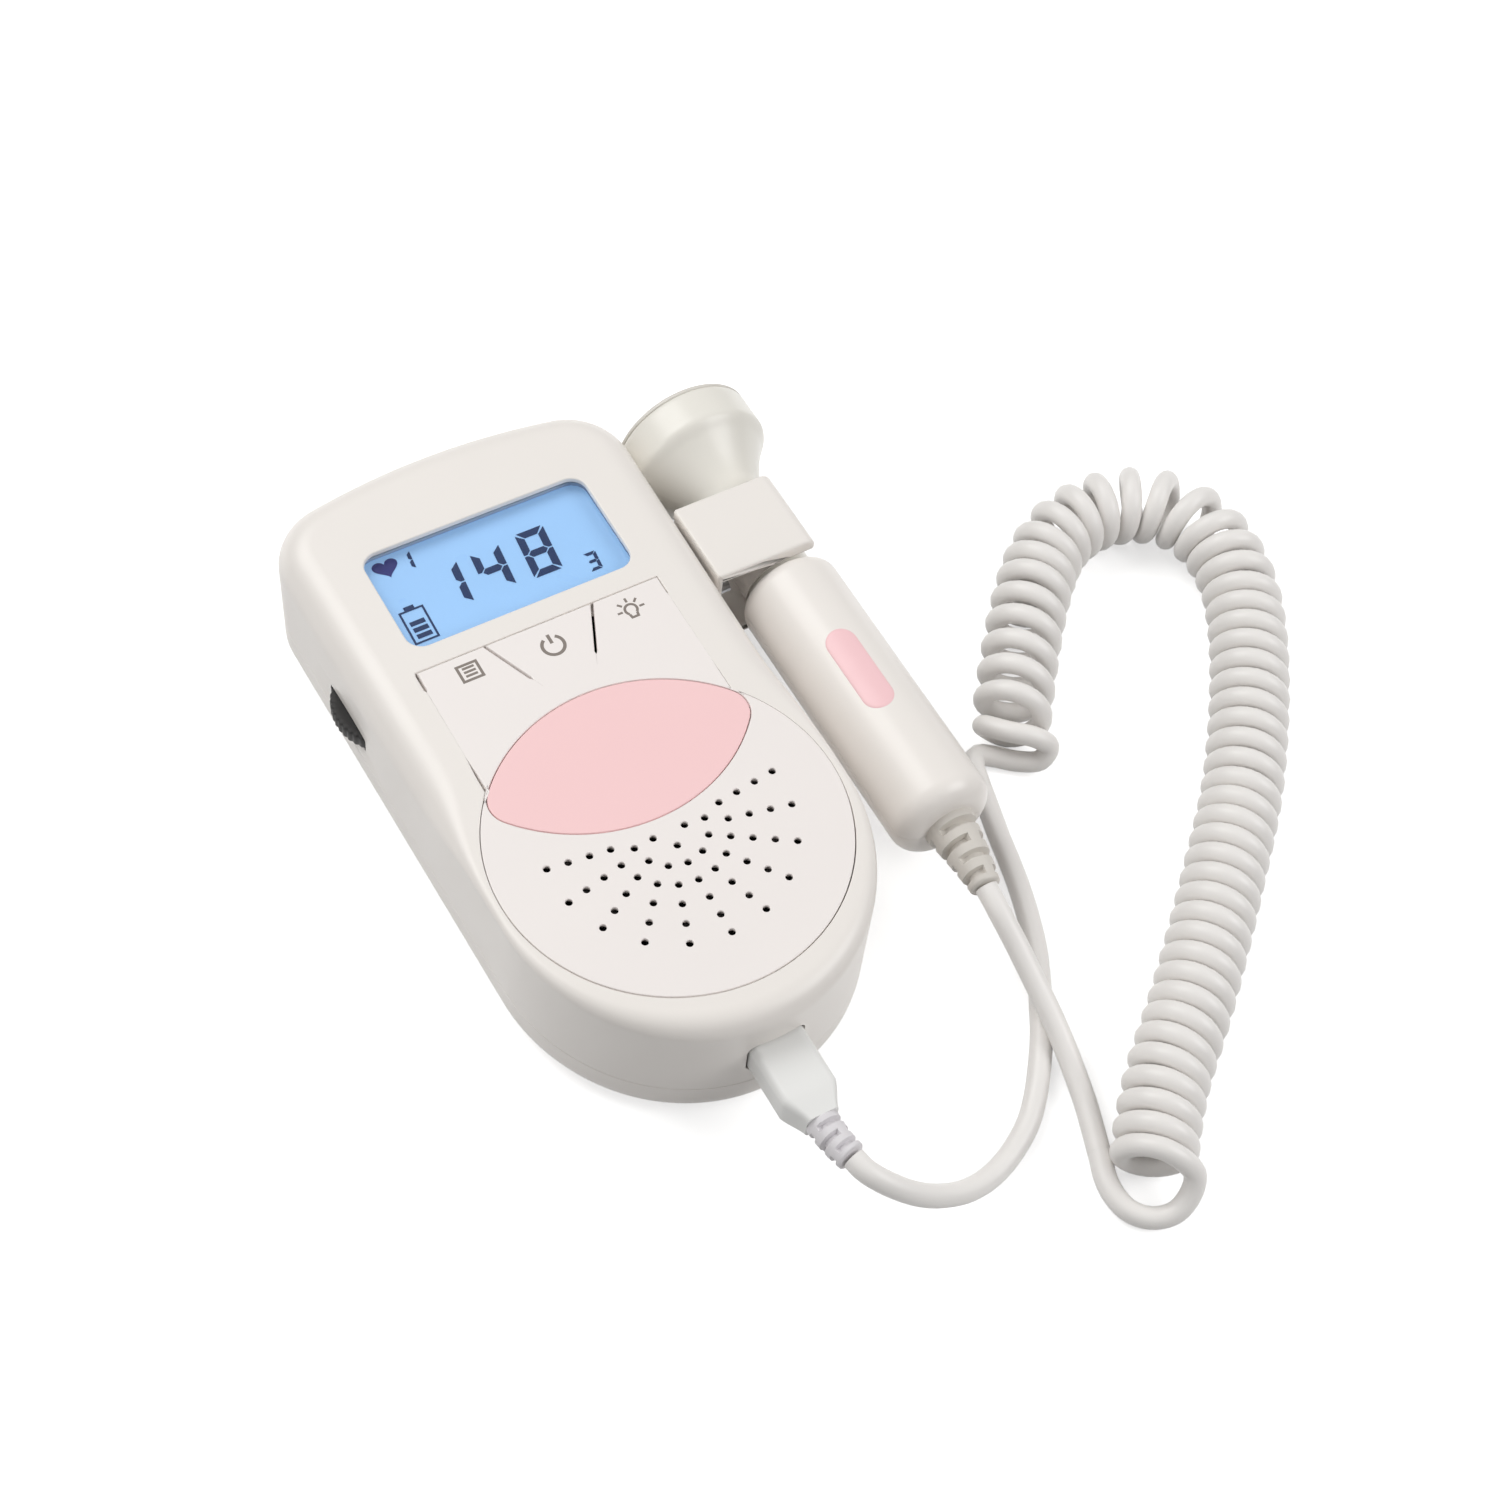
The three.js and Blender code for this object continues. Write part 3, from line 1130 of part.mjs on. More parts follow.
const elementHighY = rimTopY - lensSeat - seatGap;
const elementLowY = elementHighY - elementThickness;
const holderHighY = elementLowY - seatGap;
addPiece(assembly, "probe_head", probeHead(), creamPlastic);
addPiece(assembly, "probe_lens", probeLens(), lensGrey);
addPiece(assembly, "piezo_transmitter", halfDisc(elementRadius, elementLowY, elementHighY, -1), ceramicGrey);
addPiece(assembly, "piezo_receiver", halfDisc(elementRadius, elementLowY, elementHighY, 1), ceramicGrey);
const holder = rodY(elementRadius, 0, 0, holderHighY - holderThickness, holderHighY, 28);
addPiece(assembly, "element_holder", alongProbe(holder), blackPlastic);

const probeBoardMidY = (handleEndY + neckEndY) / 2;
const boardHalfX = Math.sqrt((cavityRadius - seatGap) ** 2 - (boardThickness / 2) ** 2);
const boardHalfY = probeBoardLength / 2;
const [boardY0, boardY1] = [probeBoardMidY - boardHalfY, probeBoardMidY + boardHalfY];
const probeBoard = slab(-boardHalfX, boardHalfX, boardY0, boardY1, -boardThickness / 2, boardThickness / 2);
addPiece(assembly, "probe_board", alongProbe(probeBoard), boardGreen);

// Strain reliefs: slotted cones that the cord's pull bends a little.
function reliefProfile(baseRadius, length) {
  const profile = [];
  const count = reliefRibs * 2 + 1;
  for (let i = 0; i < count; i++) {
    const outer = baseRadius + (reliefTipRadius - baseRadius) * (i / (count - 1));
    const radius = i % 2 === 0 ? outer : outer - reliefGroove;
    profile.push([radius, (length * i) / count], [radius, (length * (i + 1)) / count]);
  }
  return profile;
}

// Rings of a profile of [radius, distance] pairs that sets out along -Y and bends aside and up.
function reliefSkin(profile, start, length, aside, rise) {
  const up = new THREE.Vector3(0, 0, 1);
  return skin(profile.map(([radius, along]) => {
    const share = Math.max(along, 0) / length;
    const centre = new THREE.Vector3(aside * share * share, -along, rise * share * share).add(start);
    const heading = new THREE.Vector3((2 * aside * share) / length, -1, (2 * rise * share) / length).normalize();
    const across = new THREE.Vector3().crossVectors(heading, up).normalize();
    const lift = new THREE.Vector3().crossVectors(across, heading);
    return Array.from({ length: reliefSides }, (_, k) => {
      const angle = (Math.PI * 2 * k) / reliefSides;
      const spoke = across.clone().multiplyScalar(radius * Math.cos(angle));
      return spoke.addScaledVector(lift, radius * Math.sin(angle)).add(centre);
    });
  }));
}

function probeRelief() {
  const startY = handleEndY - seatGap;
  const inner = [
    [reliefFlangeRadius, -seatGap * 2 - handleWall * 2], [reliefFlangeRadius, -seatGap * 2 - handleWall],
    [reliefNeckRadius, -seatGap * 2 - handleWall], [reliefNeckRadius, 0],
  ];
  const profile = [...inner, ...reliefProfile(probeReliefRadius, probeReliefLength)];
  const start = new THREE.Vector3(probeX, startY, probeZ);
  return reliefSkin(profile, start, probeReliefLength, probeReliefAside, 0);
}

addPiece(assembly, "probe_relief", probeRelief(), creamPlastic);

// Plug: moulded body with tapered shoulders, metal shell, contact tongue and relief.
const plugBackY = plugFrontY - plugLength - plugTaper;
const plugReliefStartY = plugBackY - seatGap;

function plugRing(halfWidth, halfHeight, corner, y) {
  const points = roundedRectangle(halfWidth, halfHeight, corner).getPoints(3);
  return points.slice(0, -1).map((point) => new THREE.Vector3(point.x, y, socketZ + point.y));
}

function plugBody() {
  const [halfWidth, halfHeight] = [plugWidth / 2, plugHeight / 2];
  const nose = plugReliefRadius;
  const rings = [
    plugRing(halfWidth, halfHeight, plugCorner, plugFrontY),
    plugRing(halfWidth, halfHeight, plugCorner, plugFrontY - plugLength),
    plugRing(nose, nose, plugCorner, plugBackY),
  ];
  const [roomX, roomZ] = [plugShellWidth / 2 + seatGap, plugShellHeight / 2 + seatGap];
  const pocketY = shellBackY - seatGap;
  return cut(skin(rings), slab(-roomX, roomX, pocketY, plugFrontY + overrun, socketZ - roomZ, socketZ + roomZ));
}

function plugShell() {
  const [x, z, t] = [plugShellWidth / 2, plugShellHeight / 2, plugShellWall];
  const endY = plugFrontY + plugShellLength;
  const outer = slab(-x, x, shellBackY, endY, socketZ - z, socketZ + z);
  return cut(outer, slab(t - x, x - t, shellBackY - overrun, endY + overrun, socketZ - z + t, socketZ + z - t));
}

function plugTongue() {
  const x = plugShellWidth / 2 - plugShellWall - seatGap;
  const z = plugTongueThickness / 2;
  return slab(-x, x, shellBackY, plugFrontY + plugShellLength - plugTongueSetback, socketZ - z, socketZ + z);
}

function plugRelief() {
  const start = new THREE.Vector3(0, plugReliefStartY, socketZ);
  const profile = reliefProfile(plugReliefRadius, plugReliefLength);
  return reliefSkin(profile, start, plugReliefLength, plugReliefAside, plugReliefRise);
}

addPiece(assembly, "plug_body", plugBody(), lensGrey);
addPiece(assembly, "plug_shell", plugShell(), steel);
addPiece(assembly, "plug_tongue", plugTongue(), blackPlastic);
addPiece(assembly, "plug_relief", plugRelief(), cordGrey);

// Cord, as two plain runs and the curly stretch between them.
const runRadius = runDiameter / 2;
const curlCordRadius = curlCordDiameter / 2;

function smoothPath(points, step) {
  const curve = new THREE.CatmullRomCurve3(points.map((point) => new THREE.Vector3(...point)));
  return curve.getSpacedPoints(Math.round(curve.getLength() / step));
}

// The share of the axis's length at which a number of turns is reached.
function curlShare(turn) {
  const next = Math.max(curlPlaces.findIndex(([turns]) => turn <= turns), 1);
  const [t0, share0] = curlPlaces[next - 1];
  const [t1, share1] = curlPlaces[next];
  return share0 + ((share1 - share0) * (turn - t0)) / (t1 - t0);
}

// The curl's helix: top, left, bottom, right, seen along its axis from the probe's end.
function curlHelix() {
  const axisZ = curlRadius + curlCordRadius + curlLift;
  const axis = new THREE.CatmullRomCurve3(curlAxis.map(([x, y]) => new THREE.Vector3(x, y, axisZ)));
  axis.arcLengthDivisions = 1000;
  const path = [];
  for (let i = 0; i <= curlTurns * curlSteps; i++) {
    const turn = i / curlSteps;
    const heading = axis.getTangentAt(curlShare(turn));
    const right = new THREE.Vector3(heading.y, -heading.x, 0);
    const angle = Math.PI * 2 * (turn + curlStartTurn);
    const point = axis.getPointAt(curlShare(turn)).addScaledVector(right, curlRadius * Math.sin(angle));
    point.z -= curlRadius * Math.cos(angle);
    path.push(point);
  }
  return path;
}

// The least distance between the surfaces of stretches that lie at least half a turn apart.
function leastGap(path, diameter, apart) {
  const fine = new THREE.CatmullRomCurve3(path).getPoints(path.length * 4);
  let least = Infinity;
  fine.forEach((point, i) => {
    for (let j = i + apart * 4; j < fine.length; j++) least = Math.min(least, point.distanceTo(fine[j]));
  });
  return least - diameter;
}

const curlPath = [
  ...curlLeadIn.map((point) => new THREE.Vector3(...point)),
  ...curlHelix(),
  ...curlLeadOut.map((point) => new THREE.Vector3(...point)),
];
console.log(`curl: least gap to itself ${leastGap(curlPath, curlCordDiameter, curlSteps / 2).toFixed(2)} mm`);
addPiece(assembly, "cord_probe_run", tube(smoothPath(probeRun, cordStep), runRadius, cordSides), cordGrey);
addPiece(assembly, "cord_curl", tube(curlPath, curlCordRadius, curlSides), cordGrey);
addPiece(assembly, "cord_plug_run", tube(smoothPath(plugRun, cordStep), runRadius, cordSides), cordGrey);

export default assembly;
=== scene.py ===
import bmesh
import bpy
import math
import numpy as np
from mathutils import Matrix, Vector
from mathutils.geometry import delaunay_2d_cdt


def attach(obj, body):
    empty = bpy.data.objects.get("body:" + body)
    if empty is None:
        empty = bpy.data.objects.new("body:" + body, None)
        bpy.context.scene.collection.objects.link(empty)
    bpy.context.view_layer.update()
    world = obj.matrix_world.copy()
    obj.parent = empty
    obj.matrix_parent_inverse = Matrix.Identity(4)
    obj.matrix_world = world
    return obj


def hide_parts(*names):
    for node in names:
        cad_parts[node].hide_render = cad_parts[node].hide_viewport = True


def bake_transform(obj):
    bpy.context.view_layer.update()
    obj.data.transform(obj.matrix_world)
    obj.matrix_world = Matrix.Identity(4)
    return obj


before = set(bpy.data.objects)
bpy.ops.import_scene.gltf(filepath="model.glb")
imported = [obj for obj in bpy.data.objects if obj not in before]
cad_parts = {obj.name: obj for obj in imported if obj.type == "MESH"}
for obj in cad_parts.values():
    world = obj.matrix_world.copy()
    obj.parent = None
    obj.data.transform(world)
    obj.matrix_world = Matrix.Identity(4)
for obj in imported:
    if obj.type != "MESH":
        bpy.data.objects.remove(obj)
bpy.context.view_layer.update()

MM = 0.001
TAU = 2 * math.pi

# Places and sizes of the part, in millimetres.
BODY_LENGTH, HEIGHT, WALL, PARTING = 135.4, 30.0, 2.2, 9.0
ROOF = HEIGHT - WALL
BODY_END_X, BODY_END_DEPTH, BODY_END_DROP = 33.9, 36.4, 3.1
BODY_TOP_HALF_WIDTH, BODY_CORNER_RADIUS, BODY_CORNER_TURN = 35.5, 12.9, 80.0
BODY_LOW_Y = -BODY_END_DROP - BODY_END_DEPTH
BODY_HIGH_Y = BODY_LOW_Y + BODY_LENGTH
BODY_CROWN = 2.2
CORNER_X = BODY_TOP_HALF_WIDTH - BODY_CORNER_RADIUS
CORNER_Y = BODY_HIGH_Y - BODY_CROWN - BODY_CORNER_RADIUS
FACE_EDGE_SHARE, FACE_EDGE_LEAST, FACE_EDGE_MOST, REAR_EDGE = 0.6, 0.9, 6.3, 5.0
PANEL_RADIUS, KEY_BANK_X = 32.2, 24.2
KEY_ROOT_Y, KEY_TOP_Y = 36.5, 49.1
DISPLAY_Y, DISPLAY_W, DISPLAY_H, DISPLAY_CORNER = 65.2, 45.0, 22.9, 3.2
BADGE_Y, BADGE_X, BADGE_H, BADGE_TIP = 17.6, 25.3, 14.25, 5.0
PROBE_X, PROBE_Z = 50.2, 16.0
HANDLE_R, HANDLE_LOW, HANDLE_HIGH = 9.9, -14.3, 45.5
HEAD_R, NECK_R, HEAD_RIM_Y, HEAD_RIM_TOP, HEAD_FLARE_Y = 14.4, 7.0, 78.7, 85.2, 64.6
CLIP_IN, CLIP_OUT, CLIP_LOW, CLIP_HIGH, CLIP_HALF = 35.8, 56.6, 46.0, 63.8, 10.5
DIAL_X, DIAL_Y, DIAL_R, DIAL_Z0, DIAL_Z1 = -26.93, 56.2, 10.4, 12.5, 15.4
SOCKET_Z = 17.0
PLUG_W, PLUG_H, PLUG_CORNER = 10.5, 7.5, 1.6
PLUG_FRONT, PLUG_BACK = -38.9, -54.7
RUN_D, CURL_D = 4.2, 4.0


# Camera.
SENSOR_WIDTH, FOCAL_SHARE = 36.0, 2750.4 / 1500.0
CAMERA_RIGHT = (0.8682, -0.4909, 0.0725)
CAMERA_UP = (0.3744, 0.7439, 0.5536)
CAMERA_BACK = (-0.3257, -0.4534, 0.8297)
CAMERA_PLACE = (-0.13617, -0.21012, 0.42964)


def make_camera():
    data = bpy.data.cameras.new("camera")
    data.sensor_width = SENSOR_WIDTH
    data.lens = SENSOR_WIDTH * FOCAL_SHARE
    data.clip_start = 0.01
    data.clip_end = 20.0
    camera = bpy.data.objects.new("camera", data)
    rows = list(zip(CAMERA_RIGHT, CAMERA_UP, CAMERA_BACK, CAMERA_PLACE))
    camera.matrix_world = Matrix(rows + [(0, 0, 0, 1)])
    bpy.context.collection.objects.link(camera)
    bpy.context.scene.camera = camera


make_camera()


# Materials.
def srgb(r, g, b):
    def one(c):
        c /= 255.0
        return c / 12.92 if c <= 0.04045 else ((c + 0.055) / 1.055) ** 2.4
    return (one(r), one(g), one(b), 1.0)


def empty_tree(owner):
    """The node tree of a material or a world, with nothing in it."""
    owner.use_nodes = True
    owner.node_tree.nodes.clear()
    return owner.node_tree


def node(tree, kind, constants=(), **settings):
    """A new node with its own settings and (input, value) constants."""
    made = tree.nodes.new(kind)
    for name, value in settings.items():
        setattr(made, name, value)
    for name, value in constants:
        made.inputs[name].default_value = value
    return made


def wire(tree, *links):
    """Links, each of them a node, its output, the next node and its input."""
    for source, output, target, entry in links:
        tree.links.new(source.outputs[output], target.inputs[entry])


def plastic(name, colour, rough=0.35, vary=0.03, bump=0.05, grain=900.0, swirl=40.0, rough_vary=0.06,
            emit=0.0):
    """Moulded plastic: faint colour drift, fine grain in the bump and uneven gloss."""
    m = bpy.data.materials.new(name)
    m.use_nodes = True
    tree = m.node_tree
    shader = tree.nodes["Principled BSDF"]
    shader.inputs["Emission Strength"].default_value = emit
    base = srgb(*colour)[:3]
    dark = tuple(c * (1 - vary) for c in base) + (1,)
    pale = tuple(min(1.0, c * (1 + vary)) for c in base) + (1,)
    where = node(tree, "ShaderNodeTexCoord")
    drift = node(tree, "ShaderNodeTexNoise", [("Scale", swirl), ("Detail", 4.0)])
    smear = node(tree, "ShaderNodeTexNoise", [("Scale", swirl * 2.7)])
    fine = node(tree, "ShaderNodeTexNoise", [("Scale", grain), ("Detail", 3.0)])
    tint = node(tree, "ShaderNodeMix", [("A", dark), ("B", pale)], data_type="RGBA")
    gloss = node(tree, "ShaderNodeMapRange", [("To Min", rough - rough_vary), ("To Max", rough + rough_vary)])
    relief = node(tree, "ShaderNodeBump", [("Strength", bump), ("Distance", 0.0002)])
    wire(
        tree,
        (where, "Object", drift, "Vector"),
        (where, "Object", smear, "Vector"),
        (where, "Object", fine, "Vector"),
        (drift, "Fac", tint, "Factor"),
        (tint, "Result", shader, "Base Color"),
        (smear, "Fac", gloss, "Value"),
        (gloss, "Result", shader, "Roughness"),
        (fine, "Fac", relief, "Height"),
        (relief, "Normal", shader, "Normal"),
    )
    if emit:
        wire(tree, (tint, "Result", shader, "Emission Color"))
    return m


def metal(name, colour, rough=0.28):
    m = plastic(name, colour, rough=rough, vary=0.06, bump=0.1, grain=600.0, rough_vary=0.08)
    m.node_tree.nodes["Principled BSDF"].inputs["Metallic"].default_value = 1.0
    return m


def clear(name):
    """Thin clear window: lets the display through and adds a faint reflection."""
    m = bpy.data.materials.new(name)
    tree = empty_tree(m)
    out = node(tree, "ShaderNodeOutputMaterial")
    mix = node(tree, "ShaderNodeMixShader")
    through = node(tree, "ShaderNodeBsdfTransparent")
    shine = node(tree, "ShaderNodeBsdfGlossy")
    edge_on = node(tree, "ShaderNodeLayerWeight", [("Blend", 0.2)])
    share = node(tree, "ShaderNodeMapRange", [("To Min", 0.015), ("To Max", 0.4)])
    smudge = node(tree, "ShaderNodeTexNoise", [("Scale", 120.0)])
    tints = [("A", (0.975, 0.987, 1.0, 1)), ("B", (0.99, 0.996, 1.0, 1))]
    tint = node(tree, "ShaderNodeMix", tints, data_type="RGBA")
    gloss = node(tree, "ShaderNodeMapRange", [("To Min", 0.03), ("To Max", 0.08)])
    relief = node(tree, "ShaderNodeBump", [("Strength", 0.02), ("Distance", 0.0001)])
    wire(
        tree,
        (smudge, "Fac", tint, "Factor"),
        (tint, "Result", through, "Color"),
        (smudge, "Fac", gloss, "Value"),
        (gloss, "Result", shine, "Roughness"),
        (smudge, "Fac", relief, "Height"),
        (relief, "Normal", shine, "Normal"),
        (edge_on, "Facing", share, "Value"),
        (share, "Result", mix, "Fac"),
        (through, "BSDF", mix, 1),
        (shine, "BSDF", mix, 2),
        (mix, "Shader", out, "Surface"),
    )
    return m


CREAM = plastic("cream_plastic", (244, 239, 234), rough=0.36, vary=0.012, bump=0.06)
PANEL_CREAM = plastic("panel_cream", (247, 241, 238), rough=0.4, vary=0.014, bump=0.08)
HANDLE_CREAM = plastic("handle_cream", (245, 240, 235), rough=0.33, vary=0.012, bump=0.05)
HEAD_CREAM = plastic("head_cream", (241, 238, 230), rough=0.3, vary=0.015, bump=0.04)
PINK = plastic("pink_plastic", (255, 213, 214), rough=0.4, vary=0.012, bump=0.05)
PINK_SOFT = plastic("pink_soft", (254, 209, 213), rough=0.4, vary=0.03, bump=0.05, swirl=150)
LENS = plastic("lens_grey", (226, 222, 215), rough=0.4, vary=0.02, bump=0.05)
CORD = plastic("cord_grey", (244, 241, 238), rough=0.38, vary=0.02, bump=0.1, grain=1400)
RELIEF = plastic("relief_cream", (219, 214, 207), rough=0.45, vary=0.02, bump=0.1)
PLUG_GREY = plastic("plug_grey", (240, 240, 238), rough=0.42, vary=0.02, bump=0.08)
PLUG_RELIEF = plastic("plug_relief_grey", (228, 225, 228), rough=0.45, vary=0.02, bump=0.1)
BLACK = plastic("black_plastic", (30, 27, 26), rough=0.5, vary=0.15, bump=0.15)
DIAL = plastic("dial_black", (24, 21, 21), rough=0.55, vary=0.2, bump=0.25)
WHITE = plastic("white_plastic", (236, 236, 232), rough=0.5)
BOARD = plastic("board_green", (31, 107, 69), rough=0.4, vary=0.12, bump=0.2, swirl=300)
STEEL = metal("steel", (190, 192, 196))
MAGNET = metal("magnet_grey", (90, 92, 95), rough=0.5)
PAPER = plastic("paper_black", (34, 31, 29), rough=0.9, vary=0.2, bump=0.5, grain=500)
FOAM = plastic("foam_grey", (92, 90, 88), rough=0.95, vary=0.15, bump=0.8, grain=700)
JACKET = plastic("cell_jacket", (59, 127, 134), rough=0.35, vary=0.06, bump=0.05)
CERAMIC = plastic("ceramic", (201, 194, 169), rough=0.6, vary=0.05, bump=0.15)
BLUE = plastic("display_blue", (163, 205, 247), rough=0.3, vary=0.03, bump=0.02, swirl=60, emit=0.25)
INK = plastic("display_ink", (8, 48, 100), rough=0.4, vary=0.05, bump=0.02)
HEART_INK = plastic("heart_ink", (42, 44, 124), rough=0.4, vary=0.05, bump=0.02)
PRINT = plastic("print_brown", (138, 129, 122), rough=0.5, vary=0.06, bump=0.02)
FRAME_GREY = plastic("frame_grey", (196, 203, 214), rough=0.5, vary=0.04, bump=0.05)
CLEAR = clear("clear_window")


# Mesh kit.
def arc(cx, cy, radius, start, end, step):
    """Points on a circle from one angle to another, in degrees."""
    a, b = math.radians(start), math.radians(end)
    count = max(2, math.ceil(abs(b - a) * radius / step))
    angles = [a + (b - a) * i / count for i in range(count + 1)]
    return [(cx + radius * math.cos(t), cy + radius * math.sin(t)) for t in angles]


def circle(cx, cy, radius, step):
    """A closed counter-clockwise circle."""
    return np.array(arc(cx, cy, radius, 0, 360, step)[:-1])


def quarter(steps, first=0):
    """The sine and cosine at even steps of a quarter turn."""
    angles = [math.pi / 2 * i / steps for i in range(first, steps + 1)]
    return [(math.sin(t), math.cos(t)) for t in angles]


def box(x0, y0, x1, y1):
    return [(x0, y0), (x1, y0), (x1, y1), (x0, y1)]


def box_loop(half_x, low, high, radius, step=0.4, straight=2.0):
    """A box with round corners, as wide to both sides of the middle."""
    return np.array(rounded(box(-half_x, low, half_x, high), radius, step, straight))


def run(p, q, step):
    """Points from p to q, both left out."""
    length = math.dist(p, q)
    count = max(1, int(round(length / step)))
    return [(p[0] + (q[0] - p[0]) * i / count, p[1] + (q[1] - p[1]) * i / count) for i in range(1, count)]


def rounded(points, radii, step, straight):
    """A closed counter-clockwise polygon with round corners and its straights cut into steps."""
    n = len(points)
    arcs = []
    for i in range(n):
        p0, p1, p2 = (np.array(points[(i + k) % n], float) for k in (-1, 0, 1))
        r = radii[i] if hasattr(radii, "__len__") else radii
        u, v = (p0 - p1) / np.linalg.norm(p0 - p1), (p2 - p1) / np.linalg.norm(p2 - p1)
        angle = math.acos(max(-1.0, min(1.0, float(u @ v))))
        if r <= 1e-6 or angle > math.pi - 1e-3:
            arcs.append([tuple(p1)])
            continue
        reach = r / math.tan(angle / 2)
        middle = p1 + (u + v) / np.linalg.norm(u + v) * (r / math.sin(angle / 2))
        a = math.degrees(math.atan2(*(p1 + u * reach - middle)[::-1]))
        b = math.degrees(math.atan2(*(p1 + v * reach - middle)[::-1]))
        while b - a > 180:
            b -= 360
        while b - a < -180:
            b += 360
        arcs.append(arc(middle[0], middle[1], r, a, b, step))
    loop = []
    for i in range(n):
        loop += arcs[i]
        loop += run(arcs[i][-1], arcs[(i + 1) % n][0], straight)
    return loop


def normals_of(loop):
    """Outward mitre vectors of a counter-clockwise loop: one step along them moves each edge by one."""
    p = np.array(loop, float)
    e = np.roll(p, -1, 0) - p
    e /= np.linalg.norm(e, axis=1)[:, None]
    n1 = np.stack([e[:, 1], -e[:, 0]], 1)
    n0 = np.roll(n1, 1, 0)
    m = n0 + n1
    m /= np.maximum(np.linalg.norm(m, axis=1)[:, None], 1e-9)
    return m / np.maximum((m * n1).sum(1)[:, None], 0.35)


def offset(loop, amount):
    """A loop moved out by an amount, which may differ from point to point."""
    amount = np.broadcast_to(np.asarray(amount, float), (len(loop),))
    return np.array(loop, float) + normals_of(loop) * amount[:, None]


def inside(points, loop):
    """Which points lie inside a loop."""
    p, q = np.asarray(points, float), np.asarray(loop, float)
    a, b = q, np.roll(q, -1, 0)
    hit = np.zeros(len(p), bool)
    for (x0, y0), (x1, y1) in zip(a, b):
        if y0 == y1:
            continue
        over = (p[:, 1] > min(y0, y1)) & (p[:, 1] <= max(y0, y1))
        hit ^= over & (p[:, 0] < x0 + (p[:, 1] - y0) * (x1 - x0) / (y1 - y0))
    return hit


class Skin:
    """The points and faces of one piece, in millimetres."""

    def __init__(self):
        self.points, self.faces = [], []

    def ring(self, xy, z=None):
        start = len(self.points)
        if z is None:
            self.points += [tuple(map(float, p)) for p in xy]
        else:
            z = np.broadcast_to(np.asarray(z, float), (len(xy),))
            self.points += [(float(p[0]), float(p[1]), float(h)) for p, h in zip(xy, z)]
        return list(range(start, len(self.points)))

    def ring_at(self, y, xz):
        """A ring in an upright plane."""
        return self.ring([(x, y, z) for x, z in xz])

    def face(self, *ids):
        kept = [v for i, v in enumerate(ids) if v != ids[i - 1]]
        if len(kept) > 2:
            self.faces.append(tuple(kept))

    def bridge(self, low, high, closed=True):
        """Quads between two rings, facing outwards when a counter-clockwise ring goes up from low to high."""
        n = len(low)
        for i in range(n if closed else n - 1):
            j = (i + 1) % n
            self.face(low[i], low[j], high[j], high[i])

    def stack(self, rings):
        for low, high in zip(rings, rings[1:]):
            self.bridge(low, high)

    def down(self, rings):
        """Walls between rings that go down."""
        for high, low in zip(rings, rings[1:]):
            self.bridge(low, high)

    def plate(self, rings):
        """A whole plate, from the ring of its top to the ring of its underside."""
        self.down(rings)
        self.fill(rings[0])
        self.fill(rings[-1], up=False)

    def fill(self, outer, holes=(), up=True, axis=2):
        """Triangles between an outer ring and the rings of its holes, all of them near one plane."""
        keep = [k for k in range(3) if k != axis]
        loops = [outer, *holes]
        flat = [[tuple(self.points[v][k] for k in keep) for v in loop] for loop in loops]
        ids = [v for loop in loops for v in loop]
        edges, start = [], 0
        for loop in loops:
            n = len(loop)
            edges += [(start + i, start + (i + 1) % n) for i in range(n)]
            start += n
        out = delaunay_2d_cdt([Vector(p) for loop in flat for p in loop], edges, [], 0, 1e-7, True)
        verts, tris, origin = out[0], out[2], out[3]
        names = [ids[o[0]] if o else None for o in origin]
        tris = [t for t in tris if all(names[v] is not None for v in t)]
        middle = np.array([[sum(verts[v][k] for v in t) / 3 for k in (0, 1)] for t in tris])
        good = inside(middle, flat[0])
        for hole in flat[1:]:
            good &= ~inside(middle, hole)
        for t, ok in zip(tris, good):
            if not ok:
                continue
            a, b, c = (np.array(self.points[names[v]]) for v in t)
            facing = np.cross(b - a, c - a)[axis]
            order = t if (facing > 0) == up else t[::-1]
            self.face(*[names[v] for v in order])

    def fan(self, ring, centre, up=True):
        """A cap of triangles about a centre point."""
        middle = len(self.points)
        self.points.append(tuple(map(float, centre)))
        n = len(ring)
        for i in range(n):
            j = (i + 1) % n
            self.face(*((ring[i], ring[j], middle) if up else (ring[j], ring[i], middle)))

    def build(self, name, material, sharp=32.0, smooth=True, at=(0, 0, 0)):
        mesh = bpy.data.meshes.new(name)
        points = (np.array(self.points, float) + np.array(at)) * MM
        mesh.from_pydata([tuple(p) for p in points], [], self.faces)
        mesh.materials.append(material)
        mesh.polygons.foreach_set("use_smooth", [smooth] * len(self.faces))
        mesh.validate()
        weld(mesh)
        if smooth:
            mesh.set_sharp_from_angle(angle=math.radians(sharp))
        obj = bpy.data.objects.new(name, mesh)
        bpy.context.collection.objects.link(obj)
        return obj


def weld(mesh):
    """Join points that coincide and drop faces without area."""
    bm = bmesh.new()
    bm.from_mesh(mesh)
    bmesh.ops.remove_doubles(bm, verts=bm.verts, dist=1e-7)
    bmesh.ops.dissolve_degenerate(bm, edges=bm.edges, dist=1e-8)
    bm.to_mesh(mesh)
    bm.free()


def fix_normals(obj):
    bm = bmesh.new()
    bm.from_mesh(obj.data)
    bmesh.ops.recalc_face_normals(bm, faces=bm.faces)
    bm.to_mesh(obj.data)
    bm.free()
    return obj


def along_y(loop, spans, name="tool"):
    """A closed section in X and Z drawn along Y: spans are (place, growth)."""
    skin = Skin()
    rings = [skin.ring_at(y, offset(loop, grow)) for y, grow in spans]
    skin.stack(rings)
    skin.fill(rings[0], axis=1)
    skin.fill(rings[-1], up=False, axis=1)
    return fix_normals(skin.build(name, CREAM))


